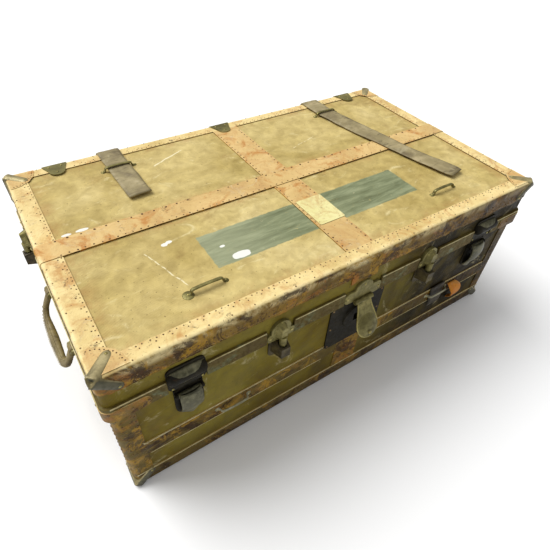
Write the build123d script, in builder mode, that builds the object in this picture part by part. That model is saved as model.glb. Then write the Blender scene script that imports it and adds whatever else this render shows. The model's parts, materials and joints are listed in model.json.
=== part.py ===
from build123d import *
import math
import os

os.makedirs("parts", exist_ok=True)

# Storage trunk in millimetres: X along its length, the front at -Y, Z up, origin under its middle.

# Driving dimensions of the trunk
TRUNK_LENGTH = 915.0
TRUNK_WIDTH = 525.0
TRUNK_HEIGHT = 340.0
LID_DEPTH = 102.0
SEAM_GAP = 0.8
BODY_INSET = 3.0
BOARD = 9.0
CANVAS = 1.2
HIDE = 1.8
LINING = 1.5
CORNER_RADIUS = 12.0
EDGE_RADIUS = 6.0
FIT = 0.4
RUNNING_FIT = 0.05

# Hide bindings, bands and strips
BINDING_AT_ENDS = 35.0
BINDING_AT_SIDES = 27.0
BINDING_DROP = 37.0
BODY_BINDING = 36.0
LONG_BAND_WIDTH = 44.0
LONG_BAND_Y = 5.0
LONG_BAND_RISE = 1.2
CROSS_BAND_WIDTH = 60.0
CROSS_BAND_X = 3.0
VALANCE_HEIGHT = 31.0
VALANCE_THICKNESS = 4.5
STRIP_WIDTH = 38.0
STRIP_HEIGHT_ABOVE_FLOOR = 90.0
TAB_WIDTH = 24.0
TAB_REACH = 66.0
TAB = 1.2
LABEL_PATCH = (56.0, 78.0)
LABEL_PATCH_CENTRE = (7.0, -119.0)

# Rim tongue and tray
TONGUE = 1.5
TONGUE_RISE = 10.0
TONGUE_SEAT = 28.0
TRAY_DEPTH = 92.0
TRAY_WALL = 7.0
TRAY_FLOOR = 4.0
TRAY_CLEARANCE = 2.5
TRAY_BELOW_SEAM = 4.0
CLEAT = (14.0, 18.0)
TRAY_DIVIDER_X = 150.0
PULL_WIDTH = 26.0
PULL_THICKNESS = 2.5

# Claw caps
CAP = 1.6
CLAW_WIDTH = 21.0
CLAW_REACH = 54.0
CLAW_GRIP = 14.0

# Strap hinges
HINGE_FROM_END = 91.5
KNUCKLE_RADIUS = 4.2
HINGE_PIN_RADIUS = 1.6
HINGE_STRAP = 1.8
HINGE_STRAP_WIDTH = 46.0
HINGE_TIP_WIDTH = 30.0
HINGE_REACH = 43.0
HINGE_TAIL = 60.0
KNUCKLE_GAP = 0.5

# Lock and hasp
LOCK_X = 5.0
LOCK_PLATE = (128.0, 114.0, 2.5)
LOCK_PLATE_DROP = 5.0
LOCK_PLATE_CORNER = 8.0
LOCK_BOSS_RADIUS = 31.0
LOCK_BOSS_RISE = 3.0
LOCK_CASE = (74.0, 62.0)
SLOT = (12.0, 20.0)
HASP_PLATE = (84.0, 44.0, 5.5)
HASP_BARREL_RADIUS = 4.5
HASP_PIN_RADIUS = 1.6
HASP_BARREL_LENGTH = 42.0
HASP_LENGTH = 78.0
HASP_NECK = 30.0
HASP_BULB_RADIUS = 24.0
HASP_SHEET = 2.2
HASP_CROWN = 6.0
HASP_STANDS_OPEN = 25.0
STAPLE_WIRE = 2.0
STAPLE_ENTERS = 5.0

# Draw latches
LATCH_X = 336.0
LATCH_HOOD = (62.0, 52.0, 3.0)
HOOD_RADIUS = 12.0
LATCH_BASE = (48.0, 74.0, 3.0)
LEVER_WIDTH = 38.0
LEVER_LENGTH = 62.0
LEVER_SHEET = 3.0
LEVER_BULGE = 11.0
LEVER_PIN_RADIUS = 1.8
LEVER_BARREL_RADIUS = 4.2
LEVER_EAR = 4.0

# Dowel catches
DOWEL_X = 172.0
END_DOWEL_Y = 164.0
DOWEL_PLATE = (52.0, 44.0, 5.5)
DOWEL_RADIUS = 8.0
DOWEL_REACH = 14.0
DOWEL_PROUD = 12.0
DOWEL_BULGE = 10.0
PEG_RADIUS = 6.4
PEG_ROOT = 14.0
PEG_TIP = 10.0
SOCKET_RADIUS = 19.0
SOCKET_DEPTH = 44.0
SOCKET_WALL = 2.0
SOCKET_BELOW_SEAM = 1.0
DOWEL_PLAY = 1.2

# Straps and their keepers
STRAP_X = 260.0
STRAP_WIDTH = 44.0
STRAP = 3.2
KEEPER_Y = 190.0
KEEPER_SPAN = 54.0
KEEPER_METAL = 2.0
KEEPER_RISE = 8.0
KEEPER_WIDTH = 10.0
KEEPER_EAR = 8.0
KEEPER_FLARE = 2.0
LEFT_STRAP_END = 76.0
RIGHT_STRAP_END = -164.0
RIGHT_STRAP_DRIFT = 68.0
STRAP_TAIL = 44.0
FRONT_KEEPER_HEIGHT = 112.0
STRAP_STUB = 58.0

# End handles
HANDLE_BELOW_SEAM = 42.0
HANDLE_SPAN = 150.0
HANDLE_DROP = 50.0
HANDLE_SLOPE = 26.0
HANDLE_GRIP = (24.0, 10.0)
HANDLE_PIN_RADIUS = 3.0
HANDLE_EYE_RADIUS = 7.0
HANDLE_EYE_WIDTH = 16.0
HANDLE_PLATE = (34.0, 46.0, 2.5)
HANDLE_LUG = 4.0

# Levels and planes worked out from the driving dimensions
SEAM = TRUNK_HEIGHT - LID_DEPTH
LID_BASE = SEAM + SEAM_GAP
BINDING_X = TRUNK_LENGTH / 2
BINDING_Y = TRUNK_WIDTH / 2
LID_FACE_X = BINDING_X - HIDE
LID_FACE_Y = BINDING_Y - HIDE
LID_FACE_Z = TRUNK_HEIGHT - HIDE
LID_BOARD_X = LID_FACE_X - CANVAS
LID_BOARD_Y = LID_FACE_Y - CANVAS
LID_BOARD_Z = LID_FACE_Z - CANVAS
BODY_OUT_X = BINDING_X - BODY_INSET
BODY_OUT_Y = BINDING_Y - BODY_INSET
BODY_FACE_X = BODY_OUT_X - HIDE
BODY_FACE_Y = BODY_OUT_Y - HIDE
BODY_BOARD_X = BODY_FACE_X - CANVAS
BODY_BOARD_Y = BODY_FACE_Y - CANVAS
BODY_BOARD_Z = HIDE + CANVAS
INNER_X = BODY_BOARD_X - BOARD
INNER_Y = BODY_BOARD_Y - BOARD
INNER_Z = BODY_BOARD_Z + BOARD
BODY_CORNER = CORNER_RADIUS - HIDE
BOARD_CORNER = BODY_CORNER - CANVAS
TRAY_TOP = SEAM - TRAY_BELOW_SEAM
TRAY_BASE = TRAY_TOP - TRAY_DEPTH
TRAY_X = INNER_X - LINING - TRAY_CLEARANCE
TRAY_Y = INNER_Y - LINING - TRAY_CLEARANCE
HINGE_Y = LID_FACE_Y + KNUCKLE_RADIUS + FIT
HINGE_Z = SEAM + SEAM_GAP / 2
HINGE_SPACING = BINDING_X - HINGE_FROM_END
HINGE_CENTRES = (-HINGE_SPACING, 0.0, HINGE_SPACING)
KNUCKLE_THIRD = HINGE_STRAP_WIDTH / 3
HASP_AXIS_Y = LID_FACE_Y + HASP_PLATE[2] + HASP_BARREL_RADIUS - 1.0
HASP_AXIS_Z = SEAM + 1.0
LOCK_FRONT_Y = BODY_FACE_Y + LOCK_PLATE[2] + LOCK_BOSS_RISE
STAPLE_REACH = HASP_AXIS_Y - LOCK_FRONT_Y + STAPLE_ENTERS
LOCK_PLATE_TOP = SEAM - LOCK_PLATE_DROP
LOCK_PLATE_Z = LOCK_PLATE_TOP - LOCK_PLATE[1] / 2
LEVER_AXIS_Y = BODY_FACE_Y + LATCH_BASE[2] + LEVER_BARREL_RADIUS + FIT
LEVER_AXIS_Z = SEAM - 16.0
HANDLE_HEIGHT = SEAM - HANDLE_BELOW_SEAM
HANDLE_AXIS_X = BODY_FACE_X + HANDLE_PLATE[2] + HANDLE_EYE_RADIUS + FIT


# Solids that several pieces share

def wrapped_block(half_x, half_y, bottom, top, corner, top_edge=0.0, bottom_edge=0.0):
    """A block with rounded upright corners and, where asked, rounded top or bottom edges."""
    with BuildPart() as block:
        with BuildSketch(Plane.XY.offset(bottom)):
            RectangleRounded(2 * half_x, 2 * half_y, corner)
        extrude(amount=top - bottom)
        if top_edge:
            fillet(block.faces().sort_by(Axis.Z)[-1].edges(), top_edge)
        if bottom_edge:
            fillet(block.faces().sort_by(Axis.Z)[0].edges(), bottom_edge)
    return block.part


def upright_box(x_span, y_span, z_span):
    """A plain box between two values on each axis."""
    with BuildPart() as box:
        with BuildSketch(Plane.XY.offset(z_span[0])):
            with Locations(((x_span[0] + x_span[1]) / 2, (y_span[0] + y_span[1]) / 2)):
                Rectangle(x_span[1] - x_span[0], y_span[1] - y_span[0])
        extrude(amount=z_span[1] - z_span[0])
    return box.part


def bent_strip(points, radii, thickness, left, x_centre, width):
    """A strip of sheet that follows a bent line in the YZ plane, level along X."""
    side = Side.LEFT if left else Side.RIGHT
    with BuildPart() as strip:
        with BuildSketch(Plane.YZ.offset(x_centre - width / 2)):
            with BuildLine():
                path = FilletPolyline(*points, radius=radii)
                offset(path, amount=thickness, side=side)
            make_face()
        extrude(amount=width)
    return strip.part


def write(piece, name):
    """Names one finished piece and writes its file."""
    piece.part.label = name
    export_step(piece.part, f"parts/{name}.step")


lid_binding_block = wrapped_block(
    BINDING_X, BINDING_Y, LID_BASE, TRUNK_HEIGHT, CORNER_RADIUS, EDGE_RADIUS)
lid_canvas_block = wrapped_block(
    LID_FACE_X, LID_FACE_Y, LID_BASE, LID_FACE_Z, BODY_CORNER, EDGE_RADIUS - HIDE)
lid_board_block = wrapped_block(
    LID_BOARD_X, LID_BOARD_Y, LID_BASE, LID_BOARD_Z, BOARD_CORNER, EDGE_RADIUS - HIDE - CANVAS)
body_binding_block = wrapped_block(
    BODY_OUT_X, BODY_OUT_Y, 0, SEAM, CORNER_RADIUS, bottom_edge=EDGE_RADIUS)
body_canvas_block = wrapped_block(
    BODY_FACE_X, BODY_FACE_Y, HIDE, SEAM, BODY_CORNER, bottom_edge=EDGE_RADIUS - HIDE)
body_board_block = wrapped_block(
    BODY_BOARD_X, BODY_BOARD_Y, BODY_BOARD_Z, SEAM, BOARD_CORNER,
    bottom_edge=EDGE_RADIUS - HIDE - CANVAS)
lock_recess = upright_box(
    (LOCK_X - LOCK_CASE[0] / 2 - FIT, LOCK_X + LOCK_CASE[0] / 2 + FIT),
    (-BODY_FACE_Y - 1, -INNER_Y),
    (LOCK_PLATE_Z - LOCK_CASE[1] / 2 - FIT, LOCK_PLATE_Z + LOCK_CASE[1] / 2 + FIT))

# Body boards: front and back run full length, the ends and the bottom stand between them
FAR = 2 * TRUNK_LENGTH
for side_name, y_low, y_high in (("body_front_board", -BODY_BOARD_Y, -INNER_Y),
                                 ("body_back_board", INNER_Y, BODY_BOARD_Y)):
    keep = upright_box((-FAR, FAR), (y_low, y_high), (0, SEAM))
    with BuildPart() as long_board:
        add(body_board_block)
        add(keep, mode=Mode.INTERSECT)
        if y_low < 0:
            add(lock_recess, mode=Mode.SUBTRACT)
    write(long_board, side_name)

for side_name, x_low, x_high in (("body_left_board", -BODY_BOARD_X, -INNER_X),
                                 ("body_right_board", INNER_X, BODY_BOARD_X)):
    keep = upright_box((x_low, x_high), (-INNER_Y, INNER_Y), (0, SEAM))
    with BuildPart() as end_board:
        add(body_board_block)
        add(keep, mode=Mode.INTERSECT)
    write(end_board, side_name)

with BuildPart() as body_bottom_board:
    with BuildSketch(Plane.XY.offset(BODY_BOARD_Z)):
        Rectangle(2 * INNER_X, 2 * INNER_Y)
    extrude(amount=BOARD)
write(body_bottom_board, "body_bottom_board")

# Canvas over the body boards, all round and underneath
with BuildPart() as body_canvas:
    add(body_canvas_block)
    add(body_board_block, mode=Mode.SUBTRACT)
    add(lock_recess, mode=Mode.SUBTRACT)
write(body_canvas, "body_canvas")

# Paper lining of the body, up to the foot of the rim tongue
TONGUE_FOOT = SEAM - TONGUE_SEAT
with BuildPart() as body_lining:
    with BuildSketch(Plane.XY.offset(INNER_Z)):
        Rectangle(2 * INNER_X, 2 * INNER_Y)
    extrude(amount=TONGUE_FOOT - INNER_Z)
    with BuildSketch(Plane.XY.offset(INNER_Z + LINING)):
        Rectangle(2 * (INNER_X - LINING), 2 * (INNER_Y - LINING))
    extrude(amount=TONGUE_FOOT - INNER_Z, mode=Mode.SUBTRACT)
write(body_lining, "body_lining")

# Sheet steel tongue that stands above the rim and guides the lid
with BuildPart() as rim_tongue:
    with BuildSketch(Plane.XY.offset(TONGUE_FOOT)):
        Rectangle(2 * INNER_X, 2 * INNER_Y)
        Rectangle(2 * (INNER_X - TONGUE), 2 * (INNER_Y - TONGUE), mode=Mode.SUBTRACT)
    extrude(amount=TONGUE_SEAT + TONGUE_RISE)
write(rim_tongue, "rim_tongue")

# Hide bindings of the body: four upright corners and the hoop round the bottom edges
with BuildPart() as corner_columns:
    with BuildSketch(Plane.XY.offset(BODY_BINDING)):
        with Locations((BODY_OUT_X, BODY_OUT_Y), (-BODY_OUT_X, BODY_OUT_Y),
                       (BODY_OUT_X, -BODY_OUT_Y), (-BODY_OUT_X, -BODY_OUT_Y)):
            Rectangle(2 * BODY_BINDING, 2 * BODY_BINDING)
    extrude(amount=SEAM - BODY_BINDING)
with BuildPart() as corner_bindings:
    add(body_binding_block)
    add(body_canvas_block, mode=Mode.SUBTRACT)
    add(corner_columns.part, mode=Mode.INTERSECT)
write(corner_bindings, "corner_bindings")

with BuildPart() as bottom_binding:
    add(body_binding_block)
    add(body_canvas_block, mode=Mode.SUBTRACT)
    with BuildSketch(Plane.XY.offset(BODY_BINDING)):
        Rectangle(FAR, FAR)
    extrude(amount=SEAM, mode=Mode.SUBTRACT)
    with BuildSketch():
        Rectangle(2 * (BODY_OUT_X - BODY_BINDING), 2 * (BODY_OUT_Y - BODY_BINDING))
    extrude(amount=HIDE, mode=Mode.SUBTRACT)
write(bottom_binding, "bottom_binding")

# Flat hide strips along the four sides of the body, between the corner bindings
CROSS_BAND_LOW = CROSS_BAND_X - CROSS_BAND_WIDTH / 2
CROSS_BAND_HIGH = CROSS_BAND_X + CROSS_BAND_WIDTH / 2
with BuildPart() as strip_region:
    with BuildSketch(Plane.XY.offset(STRIP_HEIGHT_ABOVE_FLOOR)):
        Rectangle(FAR, FAR)
        with Locations((BODY_OUT_X, BODY_OUT_Y), (-BODY_OUT_X, BODY_OUT_Y),
                       (BODY_OUT_X, -BODY_OUT_Y), (-BODY_OUT_X, -BODY_OUT_Y)):
            Rectangle(2 * BODY_BINDING, 2 * BODY_BINDING, mode=Mode.SUBTRACT)
        with Locations((CROSS_BAND_X, 0)):
            Rectangle(CROSS_BAND_WIDTH, FAR, mode=Mode.SUBTRACT)
    extrude(amount=STRIP_WIDTH)
    with BuildSketch(Plane.XZ):
        with Locations((LOCK_X, LOCK_PLATE_Z)):
            Rectangle(LOCK_PLATE[0], LOCK_PLATE[1])
    extrude(amount=FAR, mode=Mode.SUBTRACT)
with BuildPart() as body_strips:
    add(body_binding_block)
    add(body_canvas_block, mode=Mode.SUBTRACT)
    add(strip_region.part, mode=Mode.INTERSECT)
write(body_strips, "body_strips")

# Cross band round the front, bottom and back of the body
cross_slab = upright_box((CROSS_BAND_LOW, CROSS_BAND_HIGH), (-FAR, FAR), (0, SEAM))
with BuildPart() as body_cross_band:
    add(body_binding_block)
    add(body_canvas_block, mode=Mode.SUBTRACT)
    add(cross_slab, mode=Mode.INTERSECT)
    add(bottom_binding.part, mode=Mode.SUBTRACT)
    with BuildSketch(Plane.XZ):
        with Locations((LOCK_X, LOCK_PLATE_Z)):
            Rectangle(LOCK_PLATE[0], LOCK_PLATE[1])
        with Locations((LOCK_X, SEAM)):
            Rectangle(LOCK_PLATE[0], 2 * LOCK_PLATE_DROP)
    extrude(amount=FAR, mode=Mode.SUBTRACT)
    with BuildSketch(Plane.XZ):
        with Locations((0, SEAM)):
            Rectangle(CROSS_BAND_WIDTH * 2, 2 * HINGE_TAIL + 2)
    extrude(amount=-FAR, mode=Mode.SUBTRACT)
write(body_cross_band, "body_cross_band")


# Claw caps: a shell over each corner, kept where three slanting tongues cross it

def claw_region(corner_x, corner_y, corner_z, upward):
    """The tongues of one claw, as prisms through the left front corner."""
    lean = 1 if upward else -1
    middle = CLAW_REACH / 2
    with BuildPart() as region:
        if upward:
            with BuildSketch(Plane.XY.offset(corner_z - CLAW_GRIP)):
                with Locations(Location((corner_x, corner_y), 45)):
                    with Locations((middle - CLAW_WIDTH / 2, 0)):
                        SlotOverall(CLAW_REACH + CLAW_WIDTH, CLAW_WIDTH)
            extrude(amount=CLAW_GRIP + 2 * CAP)
        with BuildSketch(Plane.XZ.offset(-corner_y - CLAW_GRIP)):
            with Locations(Location((corner_x, corner_z), -45 * lean)):
                with Locations((middle - CLAW_WIDTH / 2, 0)):
                    SlotOverall(CLAW_REACH + CLAW_WIDTH, CLAW_WIDTH)
        extrude(amount=CLAW_GRIP + 2 * CAP)
        with BuildSketch(Plane.YZ.offset(corner_x - 2 * CAP)):
            with Locations(Location((corner_y, corner_z), -45 * lean)):
                with Locations((middle - CLAW_WIDTH / 2, 0)):
                    SlotOverall(CLAW_REACH + CLAW_WIDTH, CLAW_WIDTH)
        extrude(amount=CLAW_GRIP + 2 * CAP)
    return region.part


lid_cap_block = wrapped_block(
    BINDING_X + CAP, BINDING_Y + CAP, LID_BASE, TRUNK_HEIGHT + CAP,
    CORNER_RADIUS + CAP, EDGE_RADIUS + CAP)
body_cap_block = wrapped_block(
    BODY_OUT_X + CAP, BODY_OUT_Y + CAP, 0, SEAM, CORNER_RADIUS + CAP, bottom_edge=EDGE_RADIUS)
lid_claw = claw_region(-BINDING_X, -BINDING_Y, TRUNK_HEIGHT, True)
body_claw = claw_region(-BODY_OUT_X, -BODY_OUT_Y, 0, False)

with BuildPart() as lid_corner_caps:
    add(lid_cap_block)
    add(lid_binding_block, mode=Mode.SUBTRACT)
    add(lid_claw, mode=Mode.INTERSECT)
    mirror(about=Plane.YZ)
    mirror(about=Plane.XZ)
write(lid_corner_caps, "lid_corner_caps")

with BuildPart() as body_corner_caps:
    add(body_cap_block)
    add(body_binding_block, mode=Mode.SUBTRACT)
    add(body_claw, mode=Mode.INTERSECT)
    mirror(about=Plane.YZ)
    mirror(about=Plane.XZ)
write(body_corner_caps, "body_corner_caps")

# Lid boards: a top over four rails
RAIL_TOP = LID_BOARD_Z - BOARD
with BuildPart() as lid_top_board:
    add(lid_board_block)
    with BuildSketch(Plane.XY.offset(LID_BASE)):
        Rectangle(FAR, FAR)
    extrude(amount=RAIL_TOP - LID_BASE, mode=Mode.SUBTRACT)
write(lid_top_board, "lid_top_board")

LID_INNER_X = LID_BOARD_X - BOARD
LID_INNER_Y = LID_BOARD_Y - BOARD
for side_name, y_low, y_high in (("lid_front_rail", -LID_BOARD_Y, -LID_INNER_Y),
                                 ("lid_back_rail", LID_INNER_Y, LID_BOARD_Y)):
    keep = upright_box((-FAR, FAR), (y_low, y_high), (LID_BASE, RAIL_TOP))
    with BuildPart() as long_rail:
        add(lid_board_block)
        add(keep, mode=Mode.INTERSECT)
    write(long_rail, side_name)

for side_name, x_low, x_high in (("lid_left_rail", -LID_BOARD_X, -LID_INNER_X),
                                 ("lid_right_rail", LID_INNER_X, LID_BOARD_X)):
    keep = upright_box((x_low, x_high), (-LID_INNER_Y, LID_INNER_Y), (LID_BASE, RAIL_TOP))
    with BuildPart() as end_rail:
        add(lid_board_block)
        add(keep, mode=Mode.INTERSECT)
    write(end_rail, side_name)

with BuildPart() as lid_canvas:
    add(lid_canvas_block)
    add(lid_board_block, mode=Mode.SUBTRACT)
write(lid_canvas, "lid_canvas")

with BuildPart() as lid_lining:
    with BuildSketch(Plane.XY.offset(LID_BASE)):
        Rectangle(2 * LID_INNER_X, 2 * LID_INNER_Y)
    extrude(amount=RAIL_TOP - LID_BASE)
    with BuildSketch(Plane.XY.offset(LID_BASE)):
        Rectangle(2 * (LID_INNER_X - LINING), 2 * (LID_INNER_Y - LINING))
    extrude(amount=RAIL_TOP - LID_BASE - LINING, mode=Mode.SUBTRACT)
write(lid_lining, "lid_lining")

# Hide binding over the lid's edges, then the bands that cross the top
with BuildPart() as lid_binding:
    add(lid_binding_block)
    add(lid_canvas_block, mode=Mode.SUBTRACT)
    with BuildSketch(Plane.XY.offset(LID_BASE)):
        Rectangle(FAR, FAR)
    extrude(amount=LID_DEPTH - SEAM_GAP - BINDING_DROP, mode=Mode.SUBTRACT)
    with BuildSketch(Plane.XY.offset(LID_FACE_Z - 1)):
        RectangleRounded(
            2 * (BINDING_X - BINDING_AT_ENDS), 2 * (BINDING_Y - BINDING_AT_SIDES), HIDE)
    extrude(amount=HIDE + 2, mode=Mode.SUBTRACT)
write(lid_binding, "lid_binding")

long_slab = upright_box(
    (-FAR, FAR), (LONG_BAND_Y - LONG_BAND_WIDTH / 2, LONG_BAND_Y + LONG_BAND_WIDTH / 2),
    (LID_BASE + VALANCE_HEIGHT, FAR))
long_band_block = wrapped_block(
    BINDING_X + LONG_BAND_RISE, BINDING_Y + LONG_BAND_RISE, LID_BASE,
    TRUNK_HEIGHT + LONG_BAND_RISE, CORNER_RADIUS + LONG_BAND_RISE,
    EDGE_RADIUS + LONG_BAND_RISE)
with BuildPart() as lid_long_band:
    add(long_band_block)
    add(lid_canvas_block, mode=Mode.SUBTRACT)
    add(long_slab, mode=Mode.INTERSECT)
    add(lid_binding.part, mode=Mode.SUBTRACT)
write(lid_long_band, "lid_long_band")

cross_foot = LID_BASE + HASP_PLATE[1] + FIT
cross_head = TRUNK_HEIGHT - BINDING_DROP
cross_top = upright_box(
    (CROSS_BAND_LOW, CROSS_BAND_HIGH),
    (-BINDING_Y + BINDING_AT_SIDES, BINDING_Y - BINDING_AT_SIDES), (LID_FACE_Z, TRUNK_HEIGHT))
with BuildPart() as lid_cross_band:
    add(cross_top)
    add(lid_long_band.part, mode=Mode.SUBTRACT)
    with BuildSketch(Plane.XZ.offset(LID_FACE_Y)):
        with Locations((CROSS_BAND_X, (cross_foot + cross_head) / 2)):
            Rectangle(CROSS_BAND_WIDTH, cross_head - cross_foot)
    extrude(amount=HIDE)
write(lid_cross_band, "lid_cross_band")

PATCH_THICKNESS = HIDE / 2
with BuildPart() as lid_patch:
    with BuildSketch(Plane.XY.offset(TRUNK_HEIGHT)):
        with Locations(LABEL_PATCH_CENTRE):
            RectangleRounded(LABEL_PATCH[0], LABEL_PATCH[1], 4 * PATCH_THICKNESS)
    extrude(amount=PATCH_THICKNESS)
write(lid_patch, "lid_patch")


# Outlines of the front and end fittings

def hasp_plate_outline():
    """A low plate with a round crown and two shoulders, its foot at the origin."""
    with BuildSketch() as outline:
        with Locations((0, HASP_PLATE[1] * 0.3)):
            RectangleRounded(HASP_PLATE[0], HASP_PLATE[1] * 0.6, HASP_PLATE[1] * 0.2)
        with Locations((0, HASP_PLATE[1] - HASP_PLATE[0] * 0.25)):
            Circle(HASP_PLATE[0] * 0.25)
    return outline.sketch


def dowel_plate_outline():
    """A plate with two ears and a rounded crown, its foot at the origin."""
    with BuildSketch() as outline:
        with Locations((0, DOWEL_PLATE[1] * 0.5)):
            SlotOverall(DOWEL_PLATE[1], DOWEL_PLATE[0] * 0.72, rotation=90)
        with Locations((0, DOWEL_PLATE[1] * 0.26)):
            RectangleRounded(DOWEL_PLATE[0], DOWEL_PLATE[1] * 0.4, DOWEL_PLATE[1] * 0.12)
    return outline.sketch


# Front valance of the lid, notched for the fittings that sit on the lid's face
with BuildPart() as fitting_notches:
    with BuildSketch(Plane.XZ):
        with Locations((LOCK_X, LID_BASE)):
            Rectangle(HASP_PLATE[0] + 2 * FIT, 4 * VALANCE_HEIGHT)
        with Locations((-LATCH_X, LID_BASE), (LATCH_X, LID_BASE)):
            Rectangle(LATCH_HOOD[0] + 2 * FIT, 4 * VALANCE_HEIGHT)
        with Locations((-DOWEL_X, LID_BASE), (DOWEL_X, LID_BASE)):
            Rectangle(DOWEL_PLATE[0] + 2 * FIT, 4 * VALANCE_HEIGHT)
    extrude(amount=FAR)
    with BuildSketch(Plane.YZ.offset(-FAR / 2)):
        with Locations((END_DOWEL_Y, LID_BASE)):
            Rectangle(DOWEL_PLATE[0] + 2 * FIT, 4 * VALANCE_HEIGHT)
    extrude(amount=FAR)
valance_block = wrapped_block(
    LID_FACE_X + VALANCE_THICKNESS, LID_FACE_Y + VALANCE_THICKNESS, LID_BASE,
    LID_BASE + VALANCE_HEIGHT, BODY_CORNER + VALANCE_THICKNESS, VALANCE_THICKNESS / 3)
with BuildPart() as lid_valance:
    add(valance_block)
    add(lid_canvas_block, mode=Mode.SUBTRACT)
    add(fitting_notches.part, mode=Mode.SUBTRACT)
    with BuildSketch(Plane.XY.offset(LID_BASE)):
        with Locations((0, FAR / 2 + LID_FACE_Y - BODY_CORNER)):
            Rectangle(FAR, FAR)
    extrude(amount=2 * VALANCE_HEIGHT, mode=Mode.SUBTRACT)
write(lid_valance, "lid_valance")

# Nailed hide tabs with round ends that bind the valance at its corners
with BuildPart() as tab_fronts:
    with BuildSketch(Plane.XZ.offset(-FAR / 2)):
        with Locations((BINDING_X, LID_BASE + TAB_WIDTH / 2),
                       (-BINDING_X, LID_BASE + TAB_WIDTH / 2)):
            SlotOverall(2 * TAB_REACH, TAB_WIDTH)
    extrude(amount=FAR)
with BuildPart() as tab_ends:
    with BuildSketch(Plane.YZ.offset(-FAR / 2)):
        with Locations((BINDING_Y, LID_BASE + TAB_WIDTH / 2),
                       (-BINDING_Y, LID_BASE + TAB_WIDTH / 2)):
            SlotOverall(2 * TAB_REACH, TAB_WIDTH)
    extrude(amount=FAR)
VALANCE_BACK = LID_FACE_Y - BODY_CORNER
with BuildPart() as valance_tabs:
    add(wrapped_block(
        LID_FACE_X + VALANCE_THICKNESS + TAB, LID_FACE_Y + VALANCE_THICKNESS + TAB, LID_BASE,
        LID_BASE + TAB_WIDTH, BODY_CORNER + VALANCE_THICKNESS + TAB))
    add(wrapped_block(
        LID_FACE_X + VALANCE_THICKNESS, LID_FACE_Y + VALANCE_THICKNESS, LID_BASE - 1,
        LID_BASE + VALANCE_HEIGHT, BODY_CORNER + VALANCE_THICKNESS), mode=Mode.SUBTRACT)
    with BuildSketch(Plane.XY.offset(LID_BASE)):
        with Locations((0, FAR / 2 + VALANCE_BACK)):
            Rectangle(FAR, FAR)
    extrude(amount=2 * VALANCE_HEIGHT, mode=Mode.SUBTRACT)
    add(tab_ends.part, mode=Mode.INTERSECT)
    add(tab_fronts.part, mode=Mode.INTERSECT)
write(valance_tabs, "valance_tabs")

# Strap hinges: lid leaves that wrap over the top edge, body leaves down the back, and pins
with BuildPart() as hinge_taper:
    for centre in HINGE_CENTRES:
        with BuildSketch(Plane.XY):
            with BuildLine():
                tip = BINDING_Y - HINGE_REACH
                Polyline((centre - HINGE_TIP_WIDTH / 2, tip + HINGE_TIP_WIDTH / 2),
                         (centre - HINGE_STRAP_WIDTH / 2, BINDING_Y - EDGE_RADIUS),
                         (centre - HINGE_STRAP_WIDTH / 2, FAR),
                         (centre + HINGE_STRAP_WIDTH / 2, FAR),
                         (centre + HINGE_STRAP_WIDTH / 2, BINDING_Y - EDGE_RADIUS),
                         (centre + HINGE_TIP_WIDTH / 2, tip + HINGE_TIP_WIDTH / 2))
                ThreePointArc((centre + HINGE_TIP_WIDTH / 2, tip + HINGE_TIP_WIDTH / 2),
                              (centre, tip),
                              (centre - HINGE_TIP_WIDTH / 2, tip + HINGE_TIP_WIDTH / 2))
            make_face()
        extrude(amount=FAR)
JOG = LID_BASE + LID_DEPTH - SEAM_GAP - BINDING_DROP
lid_leaf_line = [
    (LID_FACE_Y, LID_BASE), (LID_FACE_Y, JOG - 3 * HIDE), (BINDING_Y, JOG - HIDE),
    (BINDING_Y, TRUNK_HEIGHT), (BINDING_Y - HINGE_REACH, TRUNK_HEIGHT)]
LEAF_BEND = EDGE_RADIUS
body_leaf_line = [
    (BODY_FACE_Y, SEAM - HINGE_TAIL), (BODY_FACE_Y, SEAM - 4 * KNUCKLE_RADIUS),
    (HINGE_Y, SEAM - 2 * KNUCKLE_RADIUS), (HINGE_Y, HINGE_Z)]
lid_leaf_strips = [
    bent_strip(lid_leaf_line, [HIDE, HIDE, LEAF_BEND], HINGE_STRAP, False, centre,
               HINGE_STRAP_WIDTH) for centre in HINGE_CENTRES]
body_leaf_strips = [
    bent_strip(body_leaf_line, [HIDE, HIDE], HINGE_STRAP, False, centre, HINGE_STRAP_WIDTH)
    for centre in HINGE_CENTRES]


def hinge_barrel(centre, x_low, x_high, radius):
    """A round bar on the hinge axis, between two places along one hinge."""
    with BuildPart() as barrel:
        with BuildSketch(Plane.YZ.offset(centre + x_low)):
            with Locations((HINGE_Y, HINGE_Z)):
                Circle(radius)
        extrude(amount=x_high - x_low)
    return barrel.part


THIRD = KNUCKLE_THIRD / 2
HALF_STRAP = HINGE_STRAP_WIDTH / 2
with BuildPart() as hinge_lid_leaves:
    for strip in lid_leaf_strips:
        add(strip)
    add(hinge_taper.part, mode=Mode.INTERSECT)
    for centre in HINGE_CENTRES:
        add(hinge_barrel(centre, -HALF_STRAP, HALF_STRAP, KNUCKLE_RADIUS))
    for centre in HINGE_CENTRES:
        add(hinge_barrel(centre, -THIRD - KNUCKLE_GAP, THIRD + KNUCKLE_GAP,
                         KNUCKLE_RADIUS + KNUCKLE_GAP), mode=Mode.SUBTRACT)
        add(hinge_barrel(centre, -FAR, FAR, HINGE_PIN_RADIUS + RUNNING_FIT),
            mode=Mode.SUBTRACT)
write(hinge_lid_leaves, "hinge_lid_leaves")

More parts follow.
